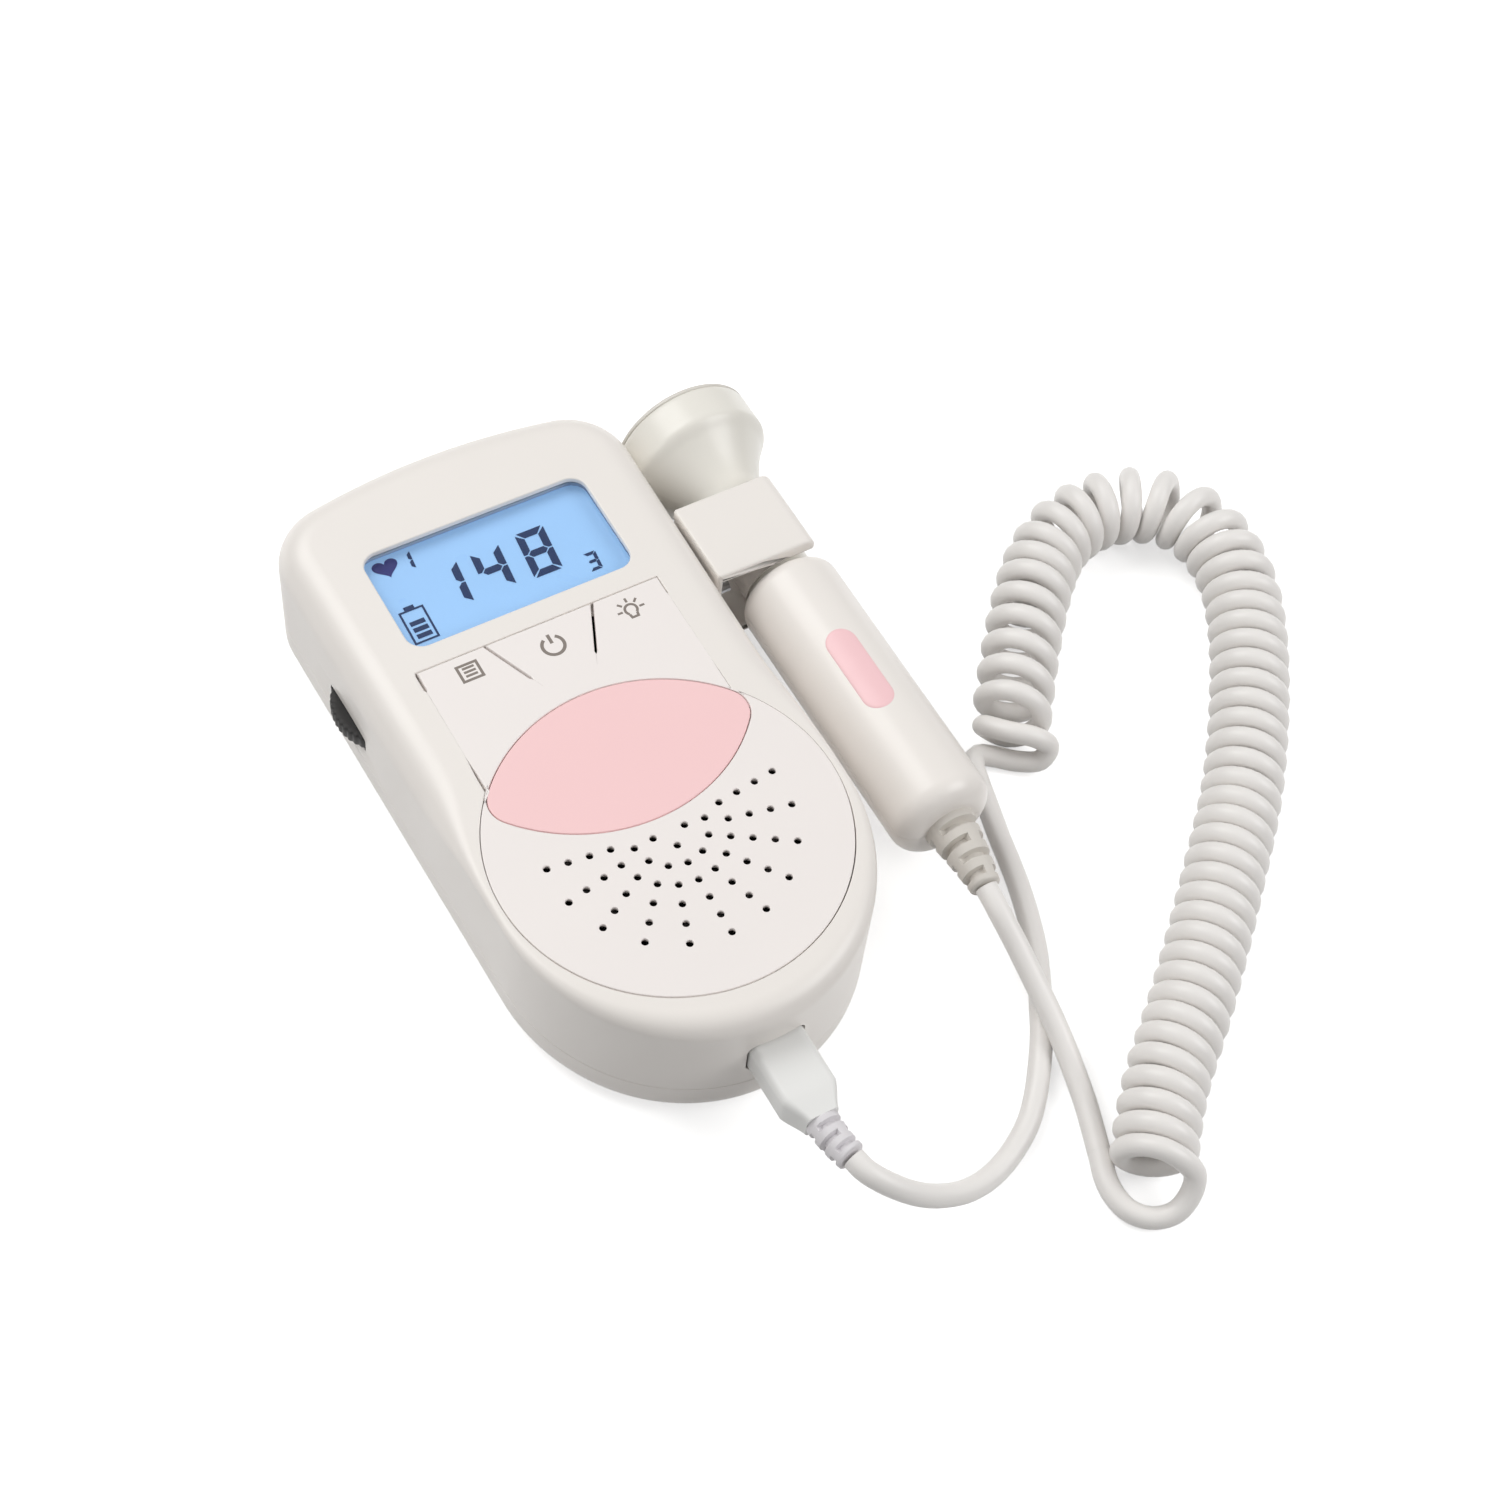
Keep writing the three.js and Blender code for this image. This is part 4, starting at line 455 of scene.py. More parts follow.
def upright(loop, low, high):
    """A closed tool for carving: a loop drawn upwards."""
    skin = Skin()
    skin.plate([skin.ring(loop, high), skin.ring(loop, low)])
    return fix_normals(skin.build("tool", CREAM))


def place(obj, body, nodes=()):
    """Ride on a body and stand for the named nodes, which are hidden."""
    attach(obj, body)
    if nodes:
        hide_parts(*nodes)
    return obj


def carve(obj, *tools):
    """Cut closed tools out of a piece."""
    for tool in tools:
        cutter = obj.modifiers.new("cut", "BOOLEAN")
        cutter.operation = "DIFFERENCE"
        cutter.solver = "EXACT"
        cutter.object = tool
        bpy.context.view_layer.update()
        made = bpy.data.meshes.new_from_object(obj.evaluated_get(bpy.context.evaluated_depsgraph_get()))
        obj.modifiers.clear()
        old, obj.data = obj.data, made
        bpy.data.meshes.remove(old)
        bpy.data.objects.remove(tool, do_unlink=True)
    obj.data.set_sharp_from_angle(angle=math.radians(32))
    return obj


def spline_points(points, step):
    """Points a step apart on a smooth curve through the given ones, spaced as centripetal Catmull-Rom."""
    p = [np.array(q, float) for q in points]
    p = [2 * p[0] - p[1]] + p + [2 * p[-1] - p[-2]]
    dense = []
    for i in range(1, len(p) - 2):
        p0, p1, p2, p3 = p[i - 1:i + 3]
        t0, t1, t2 = (max(1e-4, np.linalg.norm(b - a) ** 0.5) for a, b in ((p0, p1), (p1, p2), (p2, p3)))
        m1 = ((p1 - p0) / t0 - (p2 - p0) / (t0 + t1) + (p2 - p1) / t1) * t1
        m2 = ((p2 - p1) / t1 - (p3 - p1) / (t1 + t2) + (p3 - p2) / t2) * t1
        for k in range(40):
            t = k / 40
            dense.append((2 * t ** 3 - 3 * t ** 2 + 1) * p1 + (t ** 3 - 2 * t ** 2 + t) * m1
                         + (-2 * t ** 3 + 3 * t ** 2) * p2 + (t ** 3 - t ** 2) * m2)
    dense.append(p[-2])
    dense = np.array(dense)
    s = np.concatenate([[0], np.cumsum(np.linalg.norm(np.diff(dense, axis=0), axis=1))])
    count = max(2, int(round(s[-1] / step)))
    at = np.linspace(0, s[-1], count + 1)
    return np.stack([np.interp(at, s, dense[:, k]) for k in range(3)], 1)


def tube(path, radius, sides):
    """A round tube along a path in millimetres, closed at both ends."""
    tangent = np.gradient(path, axis=0)
    tangent /= np.linalg.norm(tangent, axis=1)[:, None]
    radius = np.broadcast_to(np.asarray(radius, float), (len(path),))
    angle = np.arange(sides)[:, None] * TAU / sides
    normal = np.array([0.0, 0.0, 1.0])
    skin = Skin()
    rings = []
    for p, t, r in zip(path, tangent, radius):
        normal = normal - t * (t @ normal)
        normal /= np.linalg.norm(normal)
        rings.append(skin.ring(p + r * (np.cos(angle) * normal + np.sin(angle) * np.cross(t, normal))))
    skin.stack(rings)
    skin.fan(rings[0], path[0], up=False)
    skin.fan(rings[-1], path[-1])
    return skin


def lathe(profile):
    """A profile of (radius, place) turned about Y."""
    sides = 96
    angle = np.arange(sides) * TAU / sides
    skin = Skin()
    rings = []
    for r, y in profile:
        rings.append(skin.ring([(r * math.sin(a), y, r * math.cos(a)) for a in angle]))
    skin.stack(rings)
    skin.fan(rings[0], (0, profile[0][1], 0), up=False)
    skin.fan(rings[-1], (0, profile[-1][1], 0))
    return skin


# Cord.
PROBE_RUN = [
    (49.3, -28.3, 16), (49.1, -33.5, 15), (49.5, -39.5, 12.1), (49.7, -46.1, 9), (49.7, -51.6, 6.9),
    (49.3, -57, 5), (48.6, -62.2, 3.4), (47.6, -67.2, 2.4), (46.1, -72, 2.05), (44.4, -76.8, 2.05),
]
CURL_IN = [
    (42.9, -80.8, 2.05), (42.5, -84.4, 2.0), (43.3, -87.9, 1.95), (46, -90.7, 1.98), (49.6, -92, 3.2),
    (52.8, -91.1, 5.8), (54.1, -89.4, 8.8), (52.9, -87.6, 11.3), (51.3, -85.8, 12.8),
]
CURL_AXIS = [
    (45.6, -88.8), (49.5, -83.9), (53.9, -78.7), (60.5, -71.9), (71.7, -62.4), (82.5, -52.6),
    (92.9, -42.7), (107, -28.7), (120.6, -11.9), (130.2, 2.6), (134.6, 12.1), (136.2, 21.6),
    (134.5, 29.7), (129.6, 35.4), (122.8, 38.4), (115.6, 38.8), (108.8, 37), (102.8, 33.3), (97.2, 28.2),
    (91, 21.6), (83.5, 12.7), (76.5, 3.9), (73.4, 0),
]
CURL_OUT = [
    (72, 6.4, 6.3), (74.3, 1.5, 9.1), (78.4, -1.7, 8.6), (80.9, -3.1, 5.8), (79.2, -3.6, 3),
    (75.6, -1.3, 1.95), (72.2, 1.6, 1.95), (69.5, 3.2, 2.0), (67.6, 1.4, 2.05), (66.8, -1.2, 2.05),
]
PLUG_RUN = [
    (66.2, -3.4, 2.05), (64.8, -9, 2.05), (63.5, -14.1, 2.05), (62.3, -19.6, 2.05), (60.8, -25.5, 2.05),
    (59, -31.2, 2.05), (56.8, -36.9, 2.05), (54.2, -42.1, 2.05), (51.3, -47.1, 2.05), (48.3, -52.1, 2.05),
    (44.9, -56.8, 2.05), (41, -61.6, 2.05), (36.8, -65.7, 2.05), (31.6, -69, 2.2), (25.8, -71.5, 3.2),
    (19.8, -72.8, 5.3), (14.4, -72.6, 8), (9.9, -71.6, 11), (6.4, -70, 13.8), (3.6, -67.9, 16),
    (1.8, -65.6, 17.2), (1.1, -63, 17.5),
]
CURL_RADIUS, CURL_LIFT, CURL_TURNS, CURL_START_TURN, CURL_STEPS = 5.7, 0.03, 45.5, 0.5, 24
CURL_LEAD_FROM, CURL_LEAD_LENGTH, CURL_LEAD_THINNER = 4, 16, 0.02
CURL_TURN_MARKS = [0, 6, 18, 28, 30, 31, 32, 33, 35, 38, 39, 40, 42, 44, 45, 45.5]
CURL_SHARE_MARKS = [0.0267, 0.1385, 0.3614, 0.5597, 0.6035, 0.6255, 0.6528, 0.682, 0.7331, 0.802, 0.8225,
                    0.842, 0.8891, 0.9396, 0.9665, 0.977]


def curl_helix():
    """The curl's turns round its axis: top, left, bottom, right, seen from the probe's end."""
    axis_z = CURL_RADIUS + CURL_D / 2 + CURL_LIFT
    axis = spline_points([(x, y, axis_z) for x, y in CURL_AXIS], 0.25)
    heading = np.gradient(axis, axis=0)
    share = np.linspace(0, 1, len(axis))
    out = []
    for i in range(int(CURL_TURNS * CURL_STEPS) + 1):
        turn = i / CURL_STEPS
        at = np.interp(turn, CURL_TURN_MARKS, CURL_SHARE_MARKS)
        p = np.array([np.interp(at, share, axis[:, k]) for k in range(3)])
        h = np.array([np.interp(at, share, heading[:, k]) for k in range(3)])
        h /= np.linalg.norm(h)
        side = np.array([h[1], -h[0], 0.0])
        angle = TAU * (turn + CURL_START_TURN)
        p = p + side * CURL_RADIUS * math.sin(angle)
        p[2] -= CURL_RADIUS * math.cos(angle)
        out.append(p)
    return np.array(out)


def length_of(path):
    return float(np.linalg.norm(np.diff(path, axis=0), axis=1).sum())


def nearest(path, point):
    return int(np.argmin(np.linalg.norm(path - np.array(point), axis=1)))


def cord_paths():
    """The probe's run, the curl and the plug's run, each starting where the last one ends."""
    helix = curl_helix()
    probe_run = spline_points(PROBE_RUN + CURL_IN[:1], 1.2)
    probe_run = probe_run[:nearest(probe_run, PROBE_RUN[-1]) + 1]
    plug_run = spline_points(CURL_OUT[-1:] + PLUG_RUN, 1.2)
    plug_run = plug_run[nearest(plug_run, PLUG_RUN[0]):]
    lead_in = spline_points(PROBE_RUN[-2:] + CURL_IN + [tuple(helix[0]), tuple(helix[3])], 0.8)
    lead_in = lead_in[nearest(lead_in, probe_run[-1]) - 1:nearest(lead_in, helix[0])]
    lead_out = spline_points([tuple(helix[-4]), tuple(helix[-1])] + CURL_OUT + PLUG_RUN[:2], 0.8)
    lead_out = lead_out[nearest(lead_out, helix[-1]) + 1:nearest(lead_out, plug_run[0]) + 2]
    return probe_run, np.concatenate([lead_in, helix, lead_out]), plug_run


def curl_thickness(path):
    """The cord's radius along the curl: a little thicker where it leads into the plain runs."""
    along = np.concatenate([[0], np.cumsum(np.linalg.norm(np.diff(path, axis=0), axis=1))])
    to_end = np.minimum(along, along[-1] - along)
    lead = 1 - np.clip((to_end - CURL_LEAD_FROM) / CURL_LEAD_LENGTH, 0, 1)
    return CURL_D / 2 + (RUN_D / 2 - CURL_LEAD_THINNER - CURL_D / 2) * lead


def bend_with(cord, cad_node):
    """A plain run takes its node's place: the node is hidden and the cord's placing is baked into its mesh.
    """
    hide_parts(cad_node)
    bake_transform(cord)


probe_path, curl, plug_path = cord_paths()
probe_cord = tube(probe_path, RUN_D / 2, 24).build("probe_cord", CORD, sharp=60)
bend_with(probe_cord, "cord_probe_run")
curly_cord = tube(curl, curl_thickness(curl), 16).build("curly_cord", CORD, sharp=60)
place(curly_cord, "unit", ["cord_curl"])
plug_cord = tube(plug_path, RUN_D / 2, 24).build("plug_cord", CORD, sharp=60)
bend_with(plug_cord, "cord_plug_run")


# Casing outline.
def casing_loop():
    """The casing's outline and the way out at each point, counter-clockwise from the lower end's middle."""
    pts, out = [], []
    steps = 84
    for i in range(steps + 1):
        a = math.pi / 2 * (i / steps - 1)
        c, s = math.cos(a), math.sin(a)
        pts.append((BODY_END_X * c, BODY_END_DEPTH * s - BODY_END_DROP))
        n = np.array([c / BODY_END_X, s / BODY_END_DEPTH])
        out.append(n / np.linalg.norm(n))
    lean = math.atan2(BODY_TOP_HALF_WIDTH - BODY_END_X, CORNER_Y + BODY_END_DROP)
    for p in run(pts[-1], (BODY_TOP_HALF_WIDTH, CORNER_Y), 0.8):
        pts.append(p)
        out.append(np.array([math.cos(lean), -math.sin(lean)]))
    steps = 36
    for i in range(steps + 1):
        a = math.radians(BODY_CORNER_TURN) * i / steps
        out.append(np.array([math.cos(a), math.sin(a)]))
        pts.append((CORNER_X + BODY_CORNER_RADIUS * math.cos(a), CORNER_Y + BODY_CORNER_RADIUS * math.sin(a)))
    x1, y1 = pts[-1]
    crown, steps = BODY_HIGH_Y - y1, 30
    for i in range(1, steps + 1):
        t = 1 - i / steps
        pts.append((x1 * t, BODY_HIGH_Y - crown * t * t))
        n = np.array([2 * crown * t / x1, 1.0])
        out.append(n / np.linalg.norm(n))
    pts += [(-x, y) for x, y in pts[1:-1]][::-1]
    out += [np.array([-n[0], n[1]]) for n in out[1:-1]][::-1]
    return np.array(pts), np.array(out)


CASING, CASING_OUT = casing_loop()


def smoothstep(t):
    t = np.clip(t, 0, 1)
    return t * t * (3 - 2 * t)


def inset(amount):
    """The casing's outline drawn in by an amount, which may differ from point to point."""
    return CASING - CASING_OUT * np.broadcast_to(np.asarray(amount, float), (len(CASING),))[:, None]


def lens_loop(grow):
    """The badge's outline: two shallow arcs that meet in round tips."""
    tip, step = BADGE_TIP, 0.5
    tip_x, rise = BADGE_X - tip, BADGE_H - tip
    bow = tip + (tip_x ** 2 + rise ** 2) / (2 * rise)
    drop = bow - BADGE_H
    swing = math.degrees(math.atan2(drop, tip_x))
    loop = arc(0, BADGE_Y - drop, bow + grow, swing, 180 - swing, step)
    loop += arc(-tip_x, BADGE_Y, tip + grow, 180 - swing, 180 + swing, step)[1:]
    loop += arc(0, BADGE_Y + drop, bow + grow, 180 + swing, 360 - swing, step)[1:]
    loop += arc(tip_x, BADGE_Y, tip + grow, -swing, swing, step)[1:-1]
    return loop


SEAM_ANGLE = math.degrees(math.acos(KEY_BANK_X / PANEL_RADIUS))
SEAM_LOW_Y = PANEL_RADIUS * math.sin(math.radians(SEAM_ANGLE))


def pocket_loop(top):
    """The seam round the panel, up to a height, counter-clockwise from its upper left corner."""
    x = KEY_BANK_X
    loop = [(-x, top)] + run((-x, top), (-x, SEAM_LOW_Y), 0.5)
    loop += arc(0, 0, PANEL_RADIUS, 180 - SEAM_ANGLE, 360 + SEAM_ANGLE, 0.5)
    loop += run((x, SEAM_LOW_Y), (x, top), 0.5) + [(x, top)]
    loop += run((x, top), (-x, top), 0.5)
    return np.array(loop)


def seam_share(points):
    """How open the seam is: shut beside the keys' lower halves, widest at the left above the badge's tip."""
    p = np.asarray(points, float)
    x, y = p[:, 0], p[:, 1]
    keys = smoothstep((y - 44.4) / 0.8) * np.where((x < 1 - KEY_BANK_X) & (y < KEY_TOP_Y - 0.3), 1, 0.4)
    panel = 1 - smoothstep((y - 24.0) / 6.0)
    left = 1 - 0.62 * smoothstep((22 - y) / 3) * smoothstep((y + 16) / 16) * (x < 0)
    right = 1 - 0.75 * smoothstep((y + 14) / 12) * (x > 0)
    low = 1 - 0.45 * smoothstep((-2 - y) / 10)
    return np.clip(np.maximum(keys, 0.8 * panel * left * right * low), 0.015, 1)


def face_edge():
    """How round the casing's front edge is: it follows the room between the outline and the panel."""
    seam = pocket_loop(KEY_TOP_Y)
    room = np.sqrt(((CASING[:, None] - seam[None]) ** 2).sum(2)).min(1)
    edge = np.clip(room * FACE_EDGE_SHARE, FACE_EDGE_LEAST, FACE_EDGE_MOST)
    for _ in range(30):
        edge = (np.roll(edge, 1) + 2 * edge + np.roll(edge, -1)) / 4
    return np.clip(edge, FACE_EDGE_LEAST, None)


FACE_EDGE = face_edge()
SEAM_GAP, SEAM_LIP = 0.46, 0.32


def lip(skin, loop, size, z, outwards, floor, steps=3, rest=0.12):
    """Rings over a rounded lip and down a wall to a floor. The flat face lies outside the loop, or inside."""
    sign = 1 if outwards else -1
    size = np.broadcast_to(np.asarray(size, float), (len(loop),))
    rings = [skin.ring(offset(loop, sign * (size + rest)), z)]
    for sine, cosine in quarter(steps):
        rings.append(skin.ring(offset(loop, sign * size * (1 - sine)), z - size * (1 - cosine)))
    rings.append(skin.ring(loop, floor))
    return rings


# Front housing.
DENT_REACH, DENT_DEPTH, DENT_Z, DENT_HALF, DENT_FADE = 13.5, 0.3, 14.5, 2.5, 1.3
PARTING_GAP, PARTING_EASE = 0.05, 0.1
FLANK_LEVELS = [9.7, 10.2, 10.6, 10.9, 11.2, 11.5, 11.8, 12.2, 12.8, 13.5, 14.5, 15.5, 16.2, 16.8, 17.1, 17.4,
                17.7, 18.0, 18.4, 18.9, 19.6, 20.5, 21.5, 22.5, 23.4]
SEAM_DEPTH, SEAM_LEDGE = 1.9, 1.6
BEZEL_LIP, BEZEL_DEPTH, WINDOW_MARGIN = 0.28, 0.95, 1.5
SLOT_SIDE, SLOT_UNDER, SLOT_OVER = 0.2, 0.3, 0.25
MOUTH_ROOM, MOUTH_CORNER = 0.35, 1.9
JACK_X, JACK_Z, JACK_R = 12, 23.7, 2.4


def dial_dent(points, z):
    """The shallow scoop in the flank about the volume wheel."""
    along = np.clip(1 - ((points[:, 1] - DIAL_Y) / DENT_REACH) ** 2, 0, None) ** 1.2
    across = 1 - smoothstep((abs(z - DENT_Z) - DENT_HALF) / DENT_FADE)
    return DENT_DEPTH * along * across * (points[:, 0] < 0)


def opening_loop(grow=0.0):
    half_w, half_h = DISPLAY_W / 2 + grow, DISPLAY_H / 2 + grow
    return box_loop(half_w, DISPLAY_Y - half_h, DISPLAY_Y + half_h, DISPLAY_CORNER + grow, 0.35, 1.2)


def front_housing():
    skin = Skin()
    z0 = PARTING + PARTING_GAP
    rings = [skin.ring(inset(PARTING_EASE), z0)]
    for z in [z0 + PARTING_EASE, *FLANK_LEVELS]:
        rings.append(skin.ring(inset(dial_dent(CASING, z)), z))
    flank_top = FLANK_LEVELS[-1]
    for i in range(1, 4):
        rings.append(skin.ring(CASING, flank_top + (HEIGHT - FACE_EDGE - flank_top) * i / 3))
    for sine, cosine in quarter(12, first=1):
        rings.append(skin.ring(inset(FACE_EDGE * (1 - cosine)), HEIGHT - FACE_EDGE * (1 - sine)))
    rings.append(skin.ring(inset(FACE_EDGE + 0.12), HEIGHT))
    skin.stack(rings)
    pocket = pocket_loop(KEY_TOP_Y)
    share = seam_share(pocket)
    pocket = offset(pocket, SEAM_GAP / 2 * share + 0.01)
    walls = lip(skin, pocket, SEAM_LIP * share + 0.005, HEIGHT, True, HEIGHT - SEAM_DEPTH)
    ledge = offset(pocket, -SEAM_LEDGE)
    walls += [skin.ring(ledge, HEIGHT - SEAM_DEPTH), skin.ring(ledge, ROOF)]
    skin.down(walls)
    bezel = lip(skin, opening_loop(), BEZEL_LIP, HEIGHT, True, HEIGHT - BEZEL_DEPTH)
    skin.down(bezel)
    seat = opening_loop(WINDOW_MARGIN)
    room = [skin.ring(seat, HEIGHT - BEZEL_DEPTH), skin.ring(seat, ROOF)]
    skin.fill(room[0], [bezel[-1]], up=False)
    skin.down(room)
    skin.fill(rings[-1], [walls[0], bezel[0]])
    inner_edge = np.maximum(FACE_EDGE - WALL, 0.6)
    inner = [skin.ring(inset(WALL), z0)]
    for sine, cosine in quarter(4):
        inner.append(skin.ring(inset(WALL + inner_edge * (1 - cosine)), ROOF - inner_edge * (1 - sine)))
    skin.down(inner)
    skin.fill(inner[-1], [walls[-1], room[-1]], up=False)
    skin.bridge(inner[0], rings[0])
    return skin.build("front_housing", CREAM)


mouth_w, mouth_h = PLUG_W / 2 + MOUTH_ROOM, PLUG_H / 2 + MOUTH_ROOM
plug_mouth = box_loop(mouth_w, SOCKET_Z - mouth_h, SOCKET_Z + mouth_h, MOUTH_CORNER, 0.3, 1.0)
jack_hole = circle(JACK_X, JACK_Z, JACK_R, 0.25)
front = carve(
    front_housing(),
    upright(circle(DIAL_X, DIAL_Y, DIAL_R + SLOT_SIDE, 0.5), DIAL_Z0 - SLOT_UNDER, DIAL_Z1 + SLOT_OVER),
    along_y(plug_mouth, [(-42, 0.3), (BODY_LOW_Y + 0.25, 0.25), (BODY_LOW_Y + 0.55, 0), (-34, 0)]),
    along_y(jack_hole, [(97.5, 0.35), (BODY_HIGH_Y - 0.3, 0.35), (BODY_HIGH_Y - 0.75, 0), (91, 0)]),
)
place(front, "unit", ["front_cover"])


# Rear housing and door.
BAY_Y, BAY_HALF_X, BAY_LENGTH, BAY_WALL = 54.5, 15.0, 57.2, 1.2
DOOR_X, DOOR_HALF_Y = BAY_HALF_X + 2.6, BAY_LENGTH / 2 + 2.6
DOOR_Z0, DOOR_Z1, DOOR_ROOM, DOOR_SEAT_Z = 0.2, 1.8, 0.2, 2.1
DOOR_RIBS, RIB_HALF, RIB_SHORTER, RIB_PITCH = 5, 9.0, 1.1, 2.2
SCREWS = [(-26.5, 82), (26.5, 82), (-14, -27.5), (14, -27.5)]


def bay_loop(grow, radius):
    half_y = BAY_LENGTH / 2 + grow
    return box_loop(BAY_HALF_X + grow, BAY_Y - half_y, BAY_Y + half_y, radius)


def door_loop(grow, radius):
    half_y = DOOR_HALF_Y + grow
    return box_loop(DOOR_X + grow, BAY_Y - half_y, BAY_Y + half_y, radius)


def rear_housing():
    skin = Skin()
    z1 = PARTING - PARTING_GAP
    rings = [skin.ring(inset(REAR_EDGE + 0.15), 0)]
    for sine, cosine in quarter(10):
        rings.append(skin.ring(inset(REAR_EDGE * (1 - sine)), REAR_EDGE * (1 - cosine)))
    for z in (6.0, 7.0, 8.0, z1 - PARTING_EASE):
        rings.append(skin.ring(CASING, z))
    rings.append(skin.ring(inset(PARTING_EASE), z1))
    inner_edge = 3
    inner = [skin.ring(inset(WALL), z1)]
    for sine, cosine in quarter(4):
        inner.append(skin.ring(inset(WALL + inner_edge * (1 - cosine)), WALL + inner_edge * (1 - sine)))
    skin.stack(rings + inner)
    # The door's recess, its seat and the cell bay.
    door = door_loop(DOOR_ROOM, 2.2)
    bay = bay_loop(0, 0.6)
    levels = [(0.37, 0), (0.25, 0), (0.07, 0.07), (0, 0.25), (0, DOOR_SEAT_Z)]
    recess = [skin.ring(offset(door, grow), z) for grow, z in levels]
    skin.stack(recess)
    room = [skin.ring(bay, DOOR_SEAT_Z), skin.ring(bay, 17.2)]
    skin.stack(room)
    skin.fill(recess[-1], [room[0]], up=False)
    skin.fill(room[1], up=False)
    bores = []
    for x, y in SCREWS:
        hole = circle(x, y, 2.9, 0.4)
        sides = [skin.ring(offset(hole, grow), z) for grow, z in ((0.32, 0), (0.2, 0), (0, 0.2), (0, 4.0))]
        skin.stack(sides)
        skin.fill(sides[-1], up=False)
        bores.append(sides[0])
    skin.fill(rings[0], [recess[0], *bores], up=False)
    # The bay's outside and the bosses, inside the casing.
    blocks = [(bay_loop(BAY_WALL, BAY_WALL), 18.4)]
    blocks += [(circle(x, y, 4.2, 0.5), 8.0) for x, y in SCREWS]
    feet = []
    for loop, top in blocks:
        block = [skin.ring(loop, WALL), skin.ring(loop, top)]
        skin.stack(block)
        skin.fill(block[1])
        feet.append(block[0])
    skin.fill(inner[-1], feet)
    return skin.build("rear_housing", CREAM)


place(rear_housing(), "unit", ["rear_cover"])


def battery_door():
    skin = Skin()
    loop = door_loop(0, 2.0)
    levels = [(0, DOOR_Z1), (0, DOOR_Z0 + 0.25), (-0.07, DOOR_Z0 + 0.07), (-0.25, DOOR_Z0), (-0.37, DOOR_Z0)]
    side = [skin.ring(offset(loop, grow), z) for grow, z in levels]
    skin.down(side)
    skin.fill(side[0])
    grooves = []
    for i in range(DOOR_RIBS):
        y = BAY_Y - DOOR_HALF_Y + 7 + RIB_PITCH * i
        groove = box_loop(RIB_HALF - RIB_SHORTER * i, y - 0.45, y + 0.45, 0.44, 0.2)
        levels = [(0.15, DOOR_Z0), (0.05, DOOR_Z0), (-0.12, DOOR_Z0 + 0.3)]
        rings = [skin.ring(offset(groove, grow), z) for grow, z in levels]
        skin.stack(rings)
        skin.fill(rings[-1], up=False)
        grooves.append(rings[0])
    skin.fill(side[-1], grooves, up=False)
    return skin.build("door_plate", CREAM)


place(battery_door(), "battery_door", ["battery_door"])


# Panel and keys.
GRILLE_R, GRILLE_STEP, GRILLE_HOLE_R = 22.2, 19.43, 0.66
GRILLE_LEVELS = [(0.2, 0), (0.13, 0), (0.04, 0.05), (0, 0.14), (0, 0.5), (0.5, 0.75), (0.5, 1.8)]
PLATE_THICKNESS, BADGE_DEPTH = 1.8, 0.85
DIVIDER_ROOT_X, DIVIDER_TOP_X = 5.35, 10.85
SLITS = {-1: 0.48, 1: 0.56}


def grille_places():
    """The speaker holes: four full rows of a fan, then two sparse rows by its middle."""
    places = []
    for share in (1, 0.826, 0.652, 0.48):
        places += [(share, (k - 5) * GRILLE_STEP) for k in range(11)]
    places += [(0.309, (k - 3) * GRILLE_STEP * 1.5) for k in range(7)]
    places += [(0.138, (k - 1) * 90.0) for k in range(3)]
    turned = [(GRILLE_R * share, math.radians(angle - 90)) for share, angle in places]
    return [(r * math.cos(a), r * math.sin(a)) for r, a in turned]


def face_panel():
    skin = Skin()
    outline = pocket_loop(KEY_ROOT_Y)
    share = seam_share(outline)
    top = outline[:, 1] > KEY_ROOT_Y - 1e-6
    share[top] = 0.0
    gap = np.where(top & (abs(outline[:, 0]) < KEY_BANK_X - 0.01), 0.0, SEAM_GAP / 2 * share)
    outline = offset(outline, -gap)
    outline[top, 1] = KEY_ROOT_Y
    size = SEAM_LIP * share + 0.0005
    under = HEIGHT - PLATE_THICKNESS
    edge = lip(skin, outline, size, HEIGHT, False, under, rest=np.where(top, 0.02, 0.12))
    skin.down(edge)
    pocket = lip(skin, np.array(lens_loop(0.2)), 0.12, HEIGHT, True, HEIGHT - BADGE_DEPTH, steps=2)
    skin.down(pocket)
    skin.fill(pocket[-1])
    tops, lows = [], []
    for x, y in grille_places():
        hole = circle(x, y, GRILLE_HOLE_R, 0.22)
        rings = [skin.ring(offset(hole, grow), HEIGHT - deep) for grow, deep in GRILLE_LEVELS]
        skin.down(rings)
        tops.append(rings[0])
        lows.append(rings[-1])
    skin.fill(edge[0], [pocket[0], *tops])
    skin.fill(edge[-1], lows, up=False)
    return skin.build("speaker_panel", PANEL_CREAM)


place(face_panel(), "unit", ["face_panel"])


def divider_x(side, y):
    """Where a slit between two keys lies at a height."""
    share = (y - KEY_ROOT_Y) / (KEY_TOP_Y - KEY_ROOT_Y)
    return side * (DIVIDER_ROOT_X + (DIVIDER_TOP_X - DIVIDER_ROOT_X) * share)


